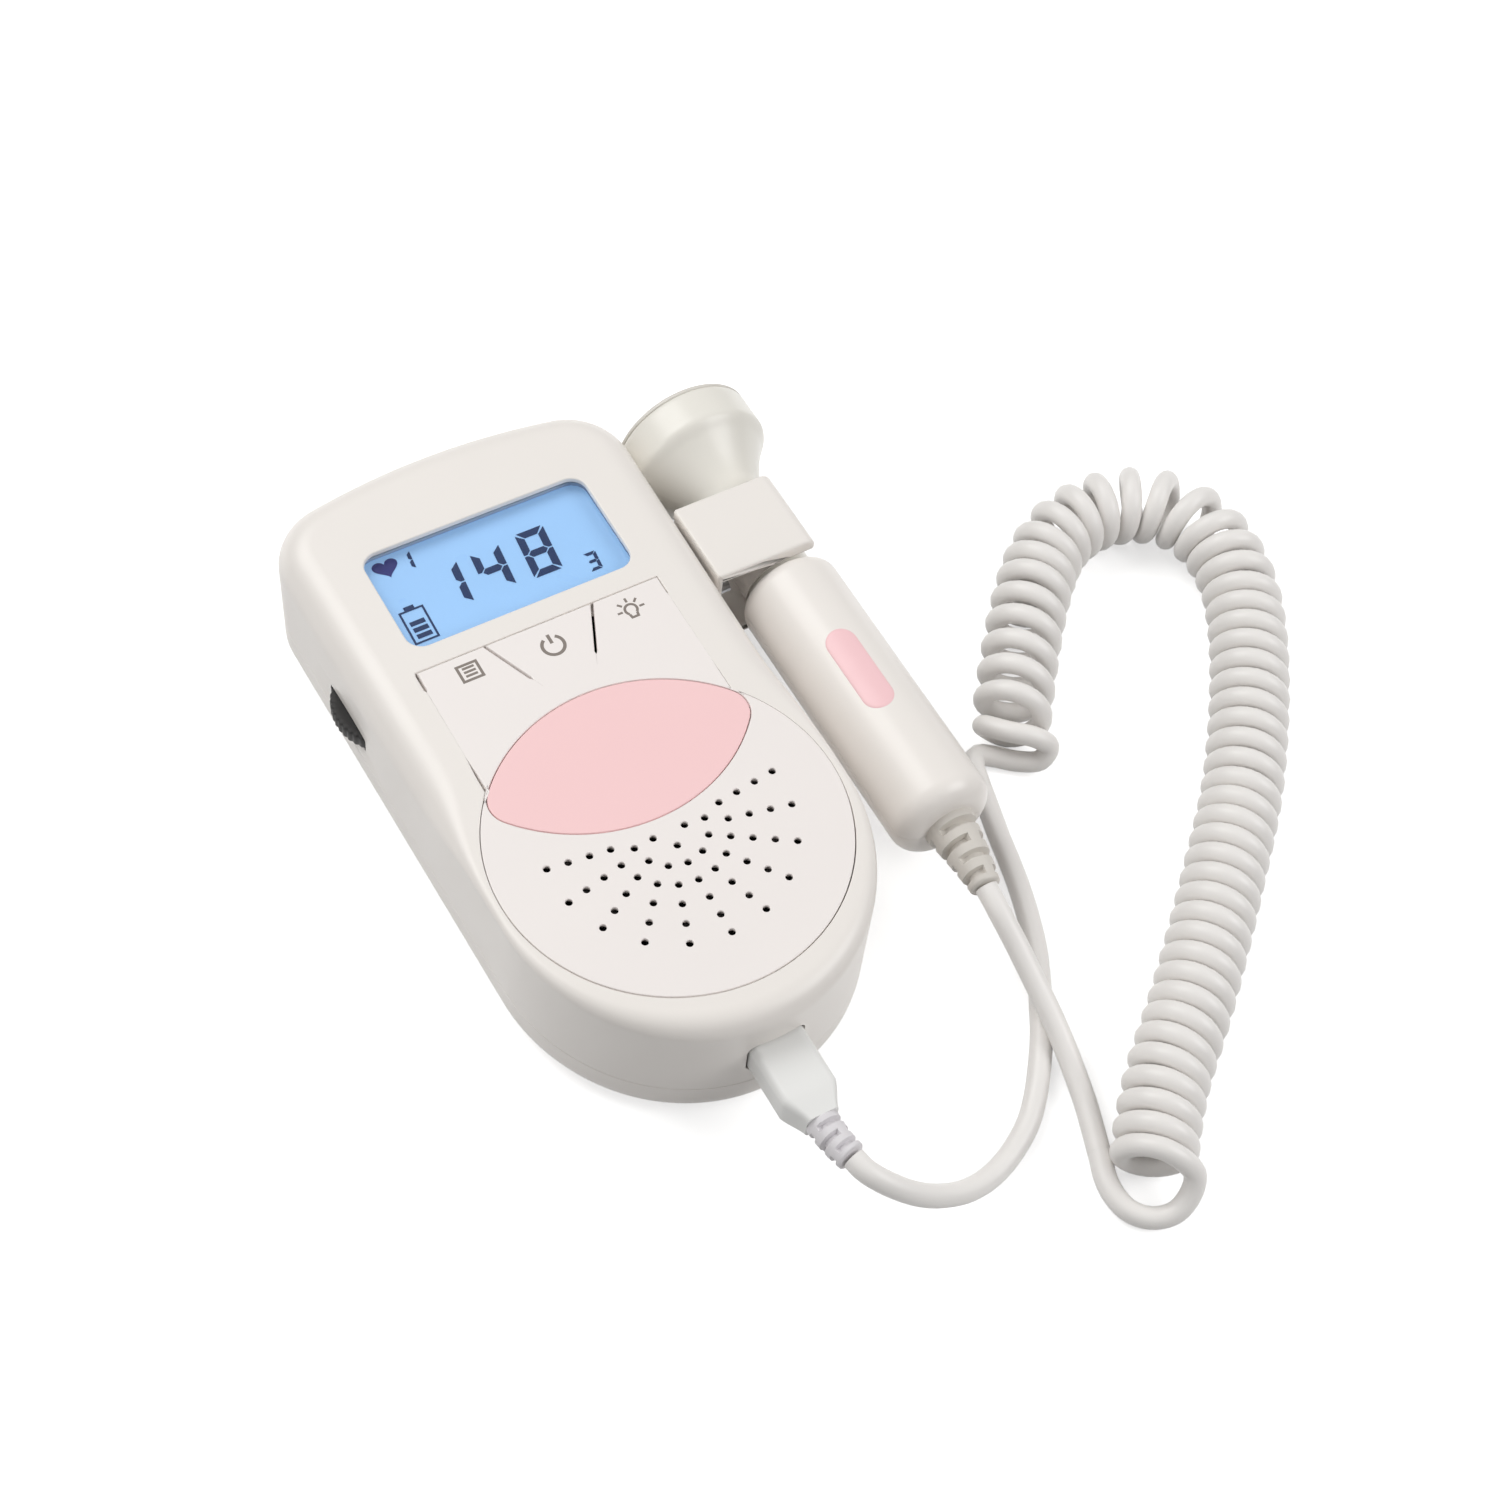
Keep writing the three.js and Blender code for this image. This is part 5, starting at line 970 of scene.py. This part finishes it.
def key_piece(name, left, right):
    """left and right are a divider's side, or None for the bank's own edge."""
    def edge(side_of, sign, y):
        if side_of is None:
            half = SEAM_GAP / 2 * float(seam_share([(sign * KEY_BANK_X, y)])[0]) + 0.012
            return sign * (KEY_BANK_X - half)
        open_share = float(smoothstep((y - 38.6) / 0.7))
        return divider_x(side_of, y) - sign * (0.015 + SLITS[side_of] / 2 * open_share)
    ys = np.linspace(KEY_ROOT_Y, KEY_TOP_Y - 0.09, 36)
    right_side = [(edge(right, 1, y), y) for y in ys]
    left_side = [(edge(left, -1, y), y) for y in ys[::-1]]
    bottom = run(left_side[-1], right_side[0], 1.0)
    upper = run(right_side[-1], left_side[0], 0.8)
    loop = np.array([left_side[-1]] + bottom + right_side + upper + left_side[:-1])
    x, y = loop[:, 0], loop[:, 1]
    size = 0.2 * smoothstep((y - 38.4) / 0.8)
    for side_of, sign in ((left, -1), (right, 1)):
        if side_of is None:
            near = abs(x - sign * KEY_BANK_X) < 0.3
            size = np.where(near & (y < KEY_TOP_Y - 0.2), 0.2 * seam_share(loop), size)
    root = y < KEY_ROOT_Y + 1e-6
    size = np.where(root, 0.0, size) + 0.0005
    skin = Skin()
    under = HEIGHT - PLATE_THICKNESS
    skin.plate(lip(skin, loop, size, HEIGHT, False, under, rest=np.where(root, 0.02, 0.12)))
    key = skin.build(name + "_key", PANEL_CREAM)
    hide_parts("key_" + name)
    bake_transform(key)


key_piece("menu", None, -1)
key_piece("power", -1, 1)
key_piece("light", 1, None)


# Flat marks.
def stroke(points, width, closed=False):
    """The outline of a line of even width."""
    p = np.array(points, float)
    n = len(p)
    left, right = [], []
    for i in range(n):
        a = p[i - 1] if (i > 0 or closed) else p[i]
        b = p[(i + 1) % n] if (i < n - 1 or closed) else p[i]
        t = b - a
        t /= np.linalg.norm(t)
        side = np.array([-t[1], t[0]]) * width / 2
        if 0 < i < n - 1 or closed:
            u, v = p[i] - a, b - p[i]
            u, v = u / np.linalg.norm(u), v / np.linalg.norm(v)
            m = np.array([-(u + v)[1], (u + v)[0]])
            m /= np.linalg.norm(m)
            side = m * width / 2 / max(0.5, abs(float(m @ np.array([-u[1], u[0]]))))
        left.append(p[i] + side)
        right.append(p[i] - side)
    return left, right


def area_of(loop):
    return sum(a[0] * b[1] - b[0] * a[1] for a, b in zip(loop, [*loop[1:], loop[0]]))


class Marks:
    """Thin raised marks on a flat face, all in one piece."""

    def __init__(self, z, thickness):
        self.skin, self.z, self.top = Skin(), z, z + thickness

    def shape(self, loop, holes=()):
        loop = list(loop) if area_of(loop) > 0 else list(loop)[::-1]
        s = self.skin
        low, high = s.ring(loop, self.z), s.ring(loop, self.top)
        s.bridge(low, high)
        lows, highs = [], []
        for hole in holes:
            lows.append(s.ring(hole, self.z))
            highs.append(s.ring(hole, self.top))
            s.bridge(highs[-1], lows[-1])
        s.fill(high, highs)
        s.fill(low, lows, up=False)

    def line(self, points, width, closed=False):
        left, right = stroke(points, width, closed)
        if closed:
            outer, inner = (left, right) if abs(area_of(left)) > abs(area_of(right)) else (right, left)
            self.shape(outer, [inner])
        else:
            self.shape(right + left[::-1])

    def build(self, name, material):
        return self.skin.build(name, material, smooth=False)


# Display symbols, all plain numbers and pictograms.
INK_Z, INK_THICKNESS, SLANT = 27.23, 0.02, 0.1
DIGITS = [
    (-8.9, 60.5, 1.9, 10.0, 1.5, "bc"), (-4.2, 60.6, 5.8, 10.0, 1.5, "bcfg"),
    (5.1, 60.3, 5.8, 10.6, 1.5, "abcdefg"), (-13.9, 72.0, 0.8, 4.3, 0.7, "bc"),
    (15.0, 57.1, 2.5, 4.2, 0.66, "abcdg"),
]
HEART_X, HEART_Y, HEART_SCALE_X, HEART_SCALE_Y = -18.1, 74.5, 0.155, 0.142


def digit(mark, x, y, w, h, t, which):
    """Seven-segment bars inside a box from (x, y), w by h, t thick, leaning to the right."""
    gap = 0.1 * t
    corner = 0.135 * t + gap
    half = h / 2
    level = [(corner, 0), (w - corner, 0), (w - t - gap, t), (t + gap, t)]
    side = [(0, corner), (0, half - gap), (t / 2, half - gap), (t, half - t / 2 - gap), (t, t + gap)]
    point = 0.55 * t + gap
    bars = {
        "a": [(px, h - py) for px, py in level],
        "b": [(w - px, h - py) for px, py in side],
        "c": [(w - px, py) for px, py in side],
        "d": level,
        "e": side,
        "f": [(px, h - py) for px, py in side],
        "g": [(point, half), (t + gap, half - t / 2), (w - t - gap, half - t / 2), (w - point, half),
              (w - t - gap, half + t / 2), (t + gap, half + t / 2)],
    }
    for bar in which:
        mark.shape([(x + px + SLANT * py, y + py) for px, py in bars[bar]])


def display_marks():
    ink = Marks(INK_Z, INK_THICKNESS)
    for places in DIGITS:
        digit(ink, *places)
    ink.line([(-20.6, 56.6), (-16.1, 56.6), (-15.9, 63.9), (-20.4, 63.9)], 0.4, closed=True)
    ink.shape(box(-19.3, 64.1, -17.3, 64.9))
    for y in (57.4, 58.9, 60.4):
        ink.shape(box(-19.7, y, -16.8, y + 1.0))
    place(ink.build("display_digits", INK), "unit")
    heart = Marks(INK_Z, INK_THICKNESS)
    points = []
    for k in range(40):
        a = TAU * k / 40
        hx = 16 * math.sin(a) ** 3
        hy = 13 * math.cos(a) - 5 * math.cos(2 * a) - 2 * math.cos(3 * a) - math.cos(4 * a)
        points.append((HEART_X + hx * HEART_SCALE_X, HEART_Y + hy * HEART_SCALE_Y))
    heart.shape(points)
    place(heart.build("display_heart", HEART_INK), "unit")


display_marks()


# Key symbols.
PRINT_Z, PRINT_THICKNESS = HEIGHT - 0.004, 0.014


def key_marks():
    menu = Marks(PRINT_Z, PRINT_THICKNESS)
    cx, cy = -15.5, 45.2
    menu.line(box(cx - 1.9, cy - 1.7, cx + 1.9, cy + 1.7), 0.54, closed=True)
    for dy in (-0.75, 0.1, 0.95):
        menu.line([(cx - 1.1, cy + dy), (cx + 1.2, cy + dy)], 0.5)
    place(menu.build("menu_mark", PRINT), "key_menu")
    power = Marks(PRINT_Z, PRINT_THICKNESS)
    cx, cy = 0.3, 43.7
    power.line(arc(cx, cy, 2.05, 123, 417, 0.25), 0.64)
    power.line([(cx, cy + 0.5), (cx, cy + 2.55)], 0.64)
    place(power.build("power_mark", PRINT), "key_power")
    light = Marks(PRINT_Z, PRINT_THICKNESS)
    cx, cy = 16.5, 44.6
    light.line(arc(cx, cy, 1.15, -50, 230, 0.2), 0.5)
    foot = [(-0.75, -0.95), (-0.62, -1.75), (0.62, -1.75), (0.75, -0.95)]
    light.line([(cx + x, cy + y) for x, y in foot], 0.5)
    for a in (0, 45, 90, 135, 180):
        c, s = math.cos(math.radians(a)), math.sin(math.radians(a))
        light.line([(cx + 1.7 * c, cy + 1.7 * s), (cx + 2.7 * c, cy + 2.7 * s)], 0.46)
    place(light.build("light_mark", PRINT), "key_light")


key_marks()


# Badge.
def badge():
    skin = Skin()
    skin.plate(lip(skin, np.array(lens_loop(-0.02)), 0.14, HEIGHT - 0.02, False, HEIGHT - 0.8))
    place(skin.build("pink_badge", PINK), "unit", ["badge_plate"])


badge()


# Volume wheel.
WHEEL_RIBS, WHEEL_GROOVE, WHEEL_BORE = 48, 0.28, 1.8


def volume_wheel():
    skin = Skin()
    n = 9 * WHEEL_RIBS
    angle = np.arange(n) * TAU / n
    wave = 0.5 + 0.5 * np.cos(angle * WHEEL_RIBS)
    groove = WHEEL_GROOVE * (1 - wave ** 0.6)
    def ring(shrink, z, depth=1.0):
        r = DIAL_R - shrink - groove * depth
        return skin.ring(np.stack([DIAL_X + r * np.cos(angle), DIAL_Y + r * np.sin(angle)], 1), z)
    z0, z1 = DIAL_Z0, DIAL_Z1
    rings = [ring(1.3, z0, 0), ring(0.45, z0, 0.3), ring(0.12, z0 + 0.15), ring(0, z0 + 0.45),
             ring(0, (z0 + z1) / 2), ring(0, z1 - 0.45), ring(0.12, z1 - 0.15), ring(0.45, z1, 0.3),
             ring(1.3, z1, 0)]
    bore = circle(DIAL_X, DIAL_Y, WHEEL_BORE, 0.3)
    low, high = skin.ring(bore, z0), skin.ring(bore, z1)
    skin.stack(rings)
    skin.bridge(high, low)
    skin.fill(rings[-1], [high])
    skin.fill(rings[0], [low], up=False)
    place(skin.build("wheel", DIAL, sharp=40), "volume_dial", ["volume_dial"])


volume_wheel()


# Probe clip.
CLIP_EASE = 0.6


def probe_clip():
    slot = NECK_R + 0.3
    z_low, z_slot = PROBE_Z - CLIP_HALF, PROBE_Z - slot
    jaw = [(CLIP_IN, z_low), (CLIP_OUT, z_low), (CLIP_OUT, z_slot), (PROBE_X + 1, z_slot),
           (PROBE_X + 1, z_slot + 0.01), (CLIP_IN, z_slot + 0.01)]
    around = rounded(jaw, [0.5, 2.2, 0.7, 0, 0, 0], 0.25, 1.0)
    lower = [p for p in around if p[1] <= z_slot + 1e-6 and not (p[0] < PROBE_X and p[1] > z_slot - 0.01)]
    start = min(range(len(lower)), key=lambda i: lower[i][0] + lower[i][1])
    lower = lower[start:] + lower[:start]
    upper = [(x, 2 * PROBE_Z - z) for x, z in lower][::-1]
    section = np.array(lower + arc(PROBE_X, PROBE_Z, slot, -90, -270, 0.4) + upper)
    eased = [(CLIP_EASE * (1 - cosine), -CLIP_EASE * (1 - sine)) for sine, cosine in quarter(4)]
    eased = [(0, -CLIP_EASE - 0.1)] + eased
    spans = [(CLIP_LOW + along, grow) for along, grow in eased]
    spans += [(CLIP_HIGH - along, grow) for along, grow in eased[::-1]]
    place(along_y(section, spans, "clip_block"), "unit", ["probe_clip"])


probe_clip()


# Probe.
PROBE_AXIS = (PROBE_X, 0, PROBE_Z)
HANDLE_LOW_ROUND, HANDLE_HIGH_ROUND, HANDLE_GAP = 4.2, 3.4, 0.04
LENS_SEAT_Y, LENS_LOW_Y, LENS_STEP, LENS_DOME = 83.0, 83.6, 0.5, 2.3
AXIS_R = 0.02


def round_corner(r, y, radius, start, end):
    """A rounded corner of a turned profile."""
    angles = [math.radians(start + (end - start) * i / 14) for i in range(15)]
    return [(r + radius * math.cos(a), y + radius * math.sin(a)) for a in angles]


def half_shell(profile, name, upper):
    """Half of a turned form, closed by a flat face at the parting plane."""
    skin = Skin()
    sides = 72
    columns = []
    for r, y in profile:
        row = []
        for k in range(sides + 1):
            a = math.pi * k / sides
            ease = 0.09 * (1 - smoothstep(min(a, math.pi - a) * r / 0.22)) if r > 1 else 0
            x, z = (r - ease) * math.cos(a), (r - ease) * math.sin(a) + HANDLE_GAP
            row.append((x, y, z if upper else -z))
        columns.append(skin.ring(row))
    for a, b in zip(columns, columns[1:]):
        skin.bridge(b, a, closed=False)
        skin.face(a[-1], b[-1], b[0], a[0])
    skin.face(*columns[0])
    skin.face(*columns[-1])
    return fix_normals(skin.build(name, HANDLE_CREAM, at=PROBE_AXIS))


def handle():
    low, high = HANDLE_LOW_ROUND, HANDLE_HIGH_ROUND
    profile = [(AXIS_R, HANDLE_LOW), (3.0, HANDLE_LOW), (5.6, HANDLE_LOW)]
    profile += round_corner(HANDLE_R - low, HANDLE_LOW + low, low, -90, 0)
    profile += [(HANDLE_R, y) for y in np.linspace(HANDLE_LOW + 6, HANDLE_HIGH - 6.5, 24)]
    profile += round_corner(HANDLE_R - high, HANDLE_HIGH - high, high, 0, 90)
    profile += [(4.0, HANDLE_HIGH), (AXIS_R, HANDLE_HIGH)]
    place(half_shell(profile, "handle_top", True), "probe", ["probe_handle_upper"])
    place(half_shell(profile, "handle_base", False), "probe", ["probe_handle_lower"])


handle()


def head():
    """The bell: a neck that flares along a smooth curve into a deep rim."""
    flare = [(0.2, 0.08), (0.4, 0.24), (0.6, 0.46), (0.8, 0.73)]
    curve = [(NECK_R, 61), (NECK_R, HEAD_FLARE_Y - 1.2)]
    for along, out in flare:
        curve.append((NECK_R + (HEAD_R - NECK_R) * out, HEAD_FLARE_Y + (HEAD_RIM_Y - HEAD_FLARE_Y) * along))
    curve += [(HEAD_R - 0.12, HEAD_RIM_Y - 0.6), (HEAD_R, HEAD_RIM_Y + 1.2)]
    bell = [(AXIS_R, HANDLE_HIGH - 3), (NECK_R, HANDLE_HIGH - 3), (NECK_R, 50), (NECK_R, 56), (NECK_R, 61)]
    bell += [(float(r), float(y)) for r, y, _ in spline_points([(r, y, 0) for r, y in curve], 0.45)][1:]
    bell += [(HEAD_R, y) for y in np.linspace(HEAD_RIM_Y + 1.6, HEAD_RIM_TOP - 0.3, 7)]
    bell += [(HEAD_R - 0.1, HEAD_RIM_TOP - 0.08), (HEAD_R - 0.25, HEAD_RIM_TOP), (HEAD_R - 1.9, HEAD_RIM_TOP),
             (HEAD_R - 1.9, LENS_SEAT_Y), (AXIS_R, LENS_SEAT_Y)]
    turned = lathe(bell).build("probe_bell", HEAD_CREAM, at=PROBE_AXIS)
    place(turned, "probe", ["probe_head"])


head()


def lens_cap():
    rim_y = HEAD_RIM_TOP + LENS_STEP
    cap = [(AXIS_R, LENS_LOW_Y), (HEAD_R - 2.2, LENS_LOW_Y), (HEAD_R - 2.2, HEAD_RIM_TOP + 0.1),
           (HEAD_R - 0.3, HEAD_RIM_TOP + 0.1), (HEAD_R - 0.06, HEAD_RIM_TOP + 0.25), (HEAD_R - 0.02, rim_y)]
    for sine, cosine in quarter(24, first=1):
        cap.append((max(AXIS_R, (HEAD_R - 0.02) * cosine ** 0.8), rim_y + LENS_DOME * sine))
    place(lathe(cap).build("lens_cap", LENS, at=PROBE_AXIS), "probe", ["probe_lens"])


lens_cap()


PILL_HALF_W, PILL_HALF_L, PILL_Y, PILL_TURN = 3.1, 9.4, 17.2, 7
PILL_LEVELS = [(0, -0.35), (0, 0), (0.1, 0.09), (0.35, 0.15), (0.8, 0.18), (1.4, 0.2), (2, 0.21), (2.6, 0.21)]


def pill():
    """The pink pill on the handle: a soft dome bent to the handle's round."""
    skin = Skin()
    turn = math.radians(PILL_TURN)
    straight = PILL_HALF_L - PILL_HALF_W
    base = arc(0, straight, PILL_HALF_W, 0, 180, 0.3) + arc(0, -straight, PILL_HALF_W, 180, 360, 0.3)
    def wrap(points, height):
        r = HANDLE_R + height
        angles = [(x / HANDLE_R - turn, y) for x, y in points]
        return [(PROBE_X + r * math.sin(a), PILL_Y + y, PROBE_Z + r * math.cos(a)) for a, y in angles]
    rings = [skin.ring(wrap(offset(base, -shrink), height)) for shrink, height in PILL_LEVELS]
    skin.stack(rings)
    skin.fan(rings[-1], wrap([(0, 0)], PILL_LEVELS[-1][1])[0])
    skin.fan(rings[0], wrap([(0, 0)], PILL_LEVELS[0][1])[0], up=False)
    place(skin.build("pill_badge", PINK_SOFT), "probe", ["probe_badge"])


pill()


# Strain reliefs.
def relief(name, start, length, aside, rise, base, tip, ribs, core_share, material, turn):
    """A tapered relief along -Y that bends aside and up, with slots that take turns from ring to ring."""
    skin = Skin()
    rings = []
    start = np.array(start)
    pitch = length / (ribs + 0.35)
    fine = int(length / 0.11)
    angle = np.arange(72) * TAU / 72
    for i in range(fine + 1):
        s = i / fine
        outer = base + (tip - base) * s
        k = int(s * length / pitch)
        f = s * length / pitch - k
        slot = np.clip((f - 0.5) / 0.05, 0, 1) * np.clip((0.96 - f) / 0.05, 0, 1) if k < ribs else 0.0
        heading = np.array([2 * aside * s / length, -1.0, 2 * rise * s / length])
        heading /= np.linalg.norm(heading)
        across = np.cross(heading, [0, 0, 1.0])
        across /= np.linalg.norm(across)
        up = np.cross(across, heading)
        bridge = 1 - smoothstep((abs(np.sin(angle - turn - (k % 2) * math.pi / 2)) - 0.3) / 0.1)
        r = outer - (1 - core_share) * outer * slot * (1 - bridge)
        if s < 0.02:
            r -= 0.075 * (1 - s / 0.02)
        if s > 0.97:
            r -= 0.3 * ((s - 0.97) / 0.03) ** 2
        centre = start + [aside * s * s, -s * length, rise * s * s]
        spread = np.outer(r * np.cos(angle), across) + np.outer(r * np.sin(angle), up)
        rings.append(skin.ring(centre + spread))
    skin.stack(rings)
    skin.fan(rings[0], start, up=False)
    skin.fan(rings[-1], start + [aside, -length, rise])
    return fix_normals(skin.build(name, material, sharp=40))


probe_relief = relief("probe_relief_rings", (PROBE_X, HANDLE_LOW + 0.2, PROBE_Z), length=14.1, aside=-0.95,
                      rise=0.0, base=5.0, tip=2.85, ribs=4, core_share=0.66, material=RELIEF, turn=0.4)
place(probe_relief, "probe", ["probe_relief"])
plug_relief = relief("plug_relief_rings", (0, PLUG_BACK + 0.1, SOCKET_Z), length=8.0, aside=1.0, rise=0.44,
                     base=3.1, tip=2.75, ribs=3, core_share=0.68, material=PLUG_RELIEF, turn=0.5)
place(plug_relief, "plug", ["plug_relief"])


# Plug.
GRIP_LENGTH, TAPER_LENGTH = 11.0, 4.7
TAPER_HALF_W, TAPER_HALF_H = 3.05, 3.0


def plug():
    skin = Skin()
    half_w, half_h = PLUG_W / 2, PLUG_H / 2
    base = box_loop(half_w, -half_h, half_h, PLUG_CORNER, 0.25, 0.8)
    def ring(y, shrink=0.0, taper=0.0):
        scale = [1 - (1 - TAPER_HALF_W / half_w) * taper, 1 - (1 - TAPER_HALF_H / half_h) * taper]
        return skin.ring_at(y, offset(base, -shrink) * scale + [0, SOCKET_Z])
    rings = [ring(PLUG_FRONT + 0.6, 0.35), ring(PLUG_FRONT + 0.35, 0.08), ring(PLUG_FRONT)]
    for t in np.linspace(0.1, 1, 8):
        rings.append(ring(PLUG_FRONT - GRIP_LENGTH * t))
    for t in np.linspace(0, 1, 9)[1:]:
        rings.append(ring(PLUG_FRONT - GRIP_LENGTH - TAPER_LENGTH * t, taper=smoothstep(t) * 0.35 + t * 0.65))
    skin.stack(rings)
    skin.fill(rings[0], axis=1)
    skin.fill(rings[-1], up=False, axis=1)
    place(fix_normals(skin.build("plug_grip", PLUG_GREY)), "plug", ["plug_body"])


plug()


# Carried-over nodes.
FINISHES = [
    (CLEAR, ["lcd_window"]),
    (BLUE, ["lcd_glass"]),
    (WHITE, ["lcd_backlight"]),
    (FRAME_GREY, ["lcd_frame"]),
    (BOARD, ["main_board", "socket_board", "probe_board"]),
    (BLACK, ["menu_switch", "power_switch", "light_switch", "earphone_jack", "probe_socket", "element_holder",
             "plug_tongue"]),
    (FOAM, ["speaker_gasket"]),
    (PAPER, ["speaker_cone"]),
    (MAGNET, ["speaker_magnet"]),
    (JACKET, ["battery_left", "battery_right"]),
    (CERAMIC, ["piezo_transmitter", "piezo_receiver"]),
    (STEEL, ["volume_pot", "volume_shaft", "speaker_frame", "contact_negative", "contact_positive",
             "contact_link", "spring_negative", "spring_link", "housing_screw_1", "housing_screw_2",
             "housing_screw_3", "housing_screw_4", "clip_screw_1", "clip_screw_2", "plug_shell"]),
]
for finish, carried in FINISHES:
    for name in carried:
        data = bpy.data.objects[name].data
        data.materials.clear()
        data.materials.append(finish)


# Cord ends, lengths and routes, worked out and left unused.
def declare(cord, path, diameter):
    """Works out a cord's exit, length and route, from the end that leaves its piece, and keeps none of them.
    """
    route = [[float(v) * MM for v in p] for p in path]
    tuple(route[0])
    length_of(path) * MM


declare(curly_cord, curl, CURL_D)
declare(probe_cord, probe_path, RUN_D)
declare(plug_cord, plug_path[::-1], RUN_D)


# Floor and light.
FLOOR_HALF, FLOOR_Z = 3000, -0.02
LIT_SPOT = (0.03, 0.0, 0)


def make_floor():
    """A pale floor that glows for the camera and in reflections, but lights the part less."""
    skin = Skin()
    skin.face(*skin.ring(box(-FLOOR_HALF, -FLOOR_HALF, FLOOR_HALF, FLOOR_HALF), FLOOR_Z))
    m = bpy.data.materials.new("floor")
    tree = empty_tree(m)
    out = node(tree, "ShaderNodeOutputMaterial")
    diffuse = node(tree, "ShaderNodeBsdfDiffuse")
    shades = [("A", (0.34, 0.335, 0.33, 1)), ("B", (0.93, 0.93, 0.93, 1))]
    shade = node(tree, "ShaderNodeMix", shades, data_type="RGBA")
    where = node(tree, "ShaderNodeTexCoord")
    away = node(tree, "ShaderNodeVectorMath", operation="LENGTH")
    spread = [("From Min", 0.4), ("From Max", 1.6), ("To Min", 0.54), ("To Max", 1.0)]
    fade = node(tree, "ShaderNodeMapRange", spread)
    glow = node(tree, "ShaderNodeEmission")
    black = node(tree, "ShaderNodeEmission", [("Strength", 0.0)])
    rays = node(tree, "ShaderNodeLightPath")
    sees = node(tree, "ShaderNodeMath", operation="MAXIMUM")
    pick = node(tree, "ShaderNodeMixShader")
    both = node(tree, "ShaderNodeAddShader")
    wire(
        tree,
        (where, "Object", away, 0),
        (away, "Value", fade, "Value"),
        (fade, "Result", glow, "Strength"),
        (rays, "Is Camera Ray", sees, 0),
        (rays, "Is Glossy Ray", sees, 1),
        (sees, "Value", pick, "Fac"),
        (sees, "Value", shade, "Factor"),
        (shade, "Result", diffuse, "Color"),
        (black, "Emission", pick, 1),
        (glow, "Emission", pick, 2),
        (diffuse, "BSDF", both, 0),
        (pick, "Shader", both, 1),
        (both, "Shader", out, "Surface"),
    )
    skin.build("floor", m, smooth=False)


make_floor()


def area_light(name, place_at, size, power, colour):
    data = bpy.data.lights.new(name, "AREA")
    data.shape = "DISK"
    data.size = size
    data.energy = power
    data.color = colour
    obj = bpy.data.objects.new(name, data)
    direction = Vector(LIT_SPOT) - Vector(place_at)
    obj.rotation_euler = direction.to_track_quat("-Z", "Y").to_euler()
    obj.location = place_at
    bpy.context.collection.objects.link(obj)


area_light("back", (-0.35, 0.75, 1.1), 1.0, 9.0, (1.0, 0.998, 0.985))
area_light("front", (0.8, -0.6, 0.8), 0.8, 6.5, (1.0, 0.998, 0.995))
area_light("left", (-0.95, 0.15, 0.6), 0.8, 1.9, (1.0, 0.995, 0.985))


def make_world():
    """Even white light, and a brighter white where the camera looks past the part."""
    world = bpy.data.worlds.new("studio")
    bpy.context.scene.world = world
    tree = empty_tree(world)
    out = node(tree, "ShaderNodeOutputWorld")
    light = node(tree, "ShaderNodeBackground", [("Color", (1, 1, 1, 1)), ("Strength", 0.3)])
    seen = node(tree, "ShaderNodeBackground", [("Color", (1, 1, 1, 1)), ("Strength", 1.0)])
    rays = node(tree, "ShaderNodeLightPath")
    pick = node(tree, "ShaderNodeMixShader")
    wire(
        tree,
        (rays, "Is Camera Ray", pick, "Fac"),
        (light, "Background", pick, 1),
        (seen, "Background", pick, 2),
        (pick, "Shader", out, "Surface"),
    )


make_world()
bpy.context.scene.view_settings.view_transform = "Standard"
